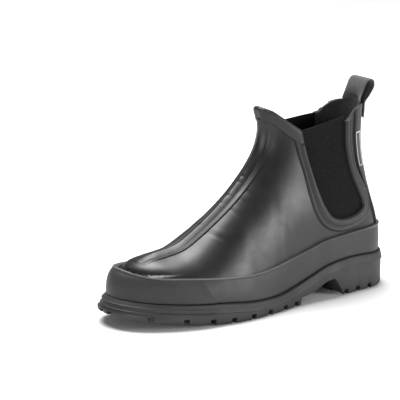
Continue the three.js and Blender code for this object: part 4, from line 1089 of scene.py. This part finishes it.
# %% Insole
def make_insole(half=120):
    loop = rim_loop(half)
    inset = -(WALL + 4 * GAP)
    levels = [(-.8, 0), (-.4, .6), (-.5, 2.6), (-.9, 3.2), (-1.6, 3.5), (-6, 3.55), (-14, 3.5)]
    rings = np.array([ring(loop, lambda x, g=g: inset + g + 0 * x, lambda x, r=r: rim_height(x) + GAP + r) for g, r in levels])
    count = rings.shape[1]
    k, j = np.meshgrid(np.arange(len(rings) - 1), np.arange(count), indexing="ij")
    a, b = k * count + j, k * count + (j + 1) % count
    faces = np.stack([a, b, b + count, a + count], -1).reshape(-1, 4).tolist()
    for base in (0, (len(rings) - 1) * count):
        for n in range(1, half):
            faces.append([base + n, base + n + 1, base + (count - n - 1) % count, base + (count - n) % count])
        faces.append([base, base + 1, base + count - 1])
    piece = new_piece("insole_board", rings, faces, [lining])
    soften(piece)
    return piece


finish_piece(make_insole(), "lining", "insole")

# %% [markdown]
# ## Pull loop
# A length of herringbone webbing folded over the back of the collar, one leg outside and one
# inside. Cloth simulation would let it flop; the real one is stiff and stands, so it is swept along
# a drawn line, hugging the curved wall below and flat in the loop above.

# %% Pull loop
LOOP_WIDTH, LOOP_THICKNESS, LOOP_HEIGHT, LOOP_BOW = 22, 1.5, 18.5, 5.8
LOOP_TOP = float(collar_height(back_x(0.96 * FRONT_HEIGHT)))
OUTSIDE = -(0.6 + 1.1 + 2 * GAP + LOOP_THICKNESS / 2)
INSIDE = WALL / 2
LOOP_PATH = [(OUTSIDE, -13, 1), (OUTSIDE, -6.5, 1), (OUTSIDE, 0, 1), (OUTSIDE - .4 * LOOP_BOW, .33 * LOOP_HEIGHT, .3),
             (OUTSIDE - .95 * LOOP_BOW, .70 * LOOP_HEIGHT, 0), (OUTSIDE - .75 * LOOP_BOW, .96 * LOOP_HEIGHT, 0),
             (INSIDE - .5 * LOOP_BOW, .98 * LOOP_HEIGHT, 0), (INSIDE + .15 * LOOP_BOW, .68 * LOOP_HEIGHT, 0),
             (INSIDE + .25 * LOOP_BOW, .36 * LOOP_HEIGHT, -.4), (INSIDE, .14 * LOOP_HEIGHT, -1), (INSIDE, .1, -1)]


def wall_bend(aside, offset):
    """How far forward the back wall has curved at some distance to the side."""
    y = np.linspace(0, 2 * LOOP_WIDTH, 400)
    spots = met_from(np.stack([float(back_x(LOOP_TOP)) - 2 + 0 * y, SHAFT_SHIFT + y, LOOP_TOP + 0 * y], -1), (1.0, 0, 0), offset)
    return np.interp(np.abs(aside), spots[:, 1] - SHAFT_SHIFT, spots[:, 0] - spots[0, 0])


def loop_rings(count=170, thick=LOOP_THICKNESS, wide=LOOP_WIDTH, lift=0.0, part=(0, 1)):
    knots = [(float(back_x(min(LOOP_TOP, LOOP_TOP + up))) + out, LOOP_TOP + up, hug) for out, up, hug in LOOP_PATH]
    line = spaced(through(knots), count)
    line = line[int(part[0] * count):int(part[1] * count) + 1]
    way = np.gradient(line[:, :2], axis=0)
    way /= np.linalg.norm(way, axis=1, keepdims=True)
    w = np.linspace(-0.5, 0.5, 27) * wide
    edge = np.sqrt(np.clip(1 - (np.abs(w) / (wide / 2)) ** 10, 0, 1))
    face = thick / 2 * (0.55 + 0.45 * edge)
    w = np.r_[w, w[::-1]]
    h = np.r_[face, -face[::-1]] + lift
    hug = line[:, 2:]
    bend = np.where(hug > 0, wall_bend(w, -OUTSIDE), wall_bend(w, -INSIDE))
    x = line[:, :1] - way[:, 1:] * h + np.abs(hug) * bend
    z = line[:, 1:2] + way[:, :1] * h
    y = SHAFT_SHIFT + w[None, :] + 0 * x
    rings = np.stack([x, y, z], -1)
    return rings, lay_of(rings, w[None, :])


rings, lay = loop_rings()
finish_piece(tube("pull_loop_webbing", rings, [webbing], lay), "webbing", "pull_loop")

# %% [markdown]
# ## Studio
# The photo is a cut-out on white with a soft shadow: broad softboxes above and to each side, a
# white floor, and a dark gap in front where the camera stands. That gap is what draws the dark
# band between the two highlights on the shaft, so the lights are kept apart.

# %% Camera at the photo's angle
def look(target, distance, azimuth, elevation, roll, focal, shift):
    a, e, r = (math.radians(v) for v in (azimuth, elevation, roll))
    back = Vector((math.sin(a) * math.cos(e), -math.cos(a) * math.cos(e), math.sin(e)))
    right = Vector((0, 0, 1)).cross(back).normalized()
    up = back.cross(right)
    right, up = right * math.cos(r) + up * math.sin(r), up * math.cos(r) - right * math.sin(r)
    camera = bpy.data.objects.new("photo_camera", bpy.data.cameras.new("photo_camera"))
    bpy.context.scene.collection.objects.link(camera)
    camera.matrix_world = Matrix.Translation(Vector(target) + back * distance) @ Matrix((right, up, back)).transposed().to_4x4()
    camera.data.sensor_width, camera.data.lens = 36, focal
    camera.data.shift_x, camera.data.shift_y = shift
    camera.data.clip_start, camera.data.clip_end = 0.05, 60
    bpy.context.scene.camera = camera


look((0.10486, 0, 0.070), 2.2, 142.1, 14.1, 0.8, 2690 / 400 * 36, (-47.6 / 400, 17.6 / 400))

# %% Floor, world and softboxes
def floor_finish():
    made, tree, shader = material("studio_floor", (0.88, 0.88, 0.88), 0.9)
    tint(tree, shader, noise(tree, 6.0), (0.87, 0.87, 0.87), (0.89, 0.89, 0.89))
    return made


def make_floor():
    points = np.array([(-6000, -9000, 0), (6000, -9000, 0), (6000, 5000, 0), (-6000, 5000, 0)], float)
    floor = new_piece("studio_floor", points, [[0, 1, 2, 3]], [floor_finish()])


def softbox(name, toward, distance, size, watts):
    data = bpy.data.lights.new(name, "AREA")
    data.shape, data.size, data.size_y, data.energy = "RECTANGLE", *size, watts
    light = bpy.data.objects.new(name, data)
    bpy.context.scene.collection.objects.link(light)
    spot = Vector(toward).normalized() * distance + Vector((0.1, 0, 0.07))
    light.location = spot
    light.rotation_euler = (spot - Vector((0.1, 0, 0.07))).to_track_quat("Z", "Y").to_euler()


make_floor()
world = bpy.data.worlds.new("studio_world")
bpy.context.scene.world = world
world.use_nodes = True
world.node_tree.nodes["Background"].inputs["Color"].default_value = (1, 1, 1, 1)
world.node_tree.nodes["Background"].inputs["Strength"].default_value = 0.2
softbox("softbox_above", (0.0, -0.3, 1.0), 1.8, (1.5, 1.1), 66)
softbox("softbox_front", (0.82, 0.50, 0.16), 2.6, (1.5, 0.6), 16)
softbox("softbox_heel_side", (-0.54, 0.82, 0.22), 1.8, (0.7, 0.7), 19)
bpy.context.scene.view_settings.view_transform = "Standard"
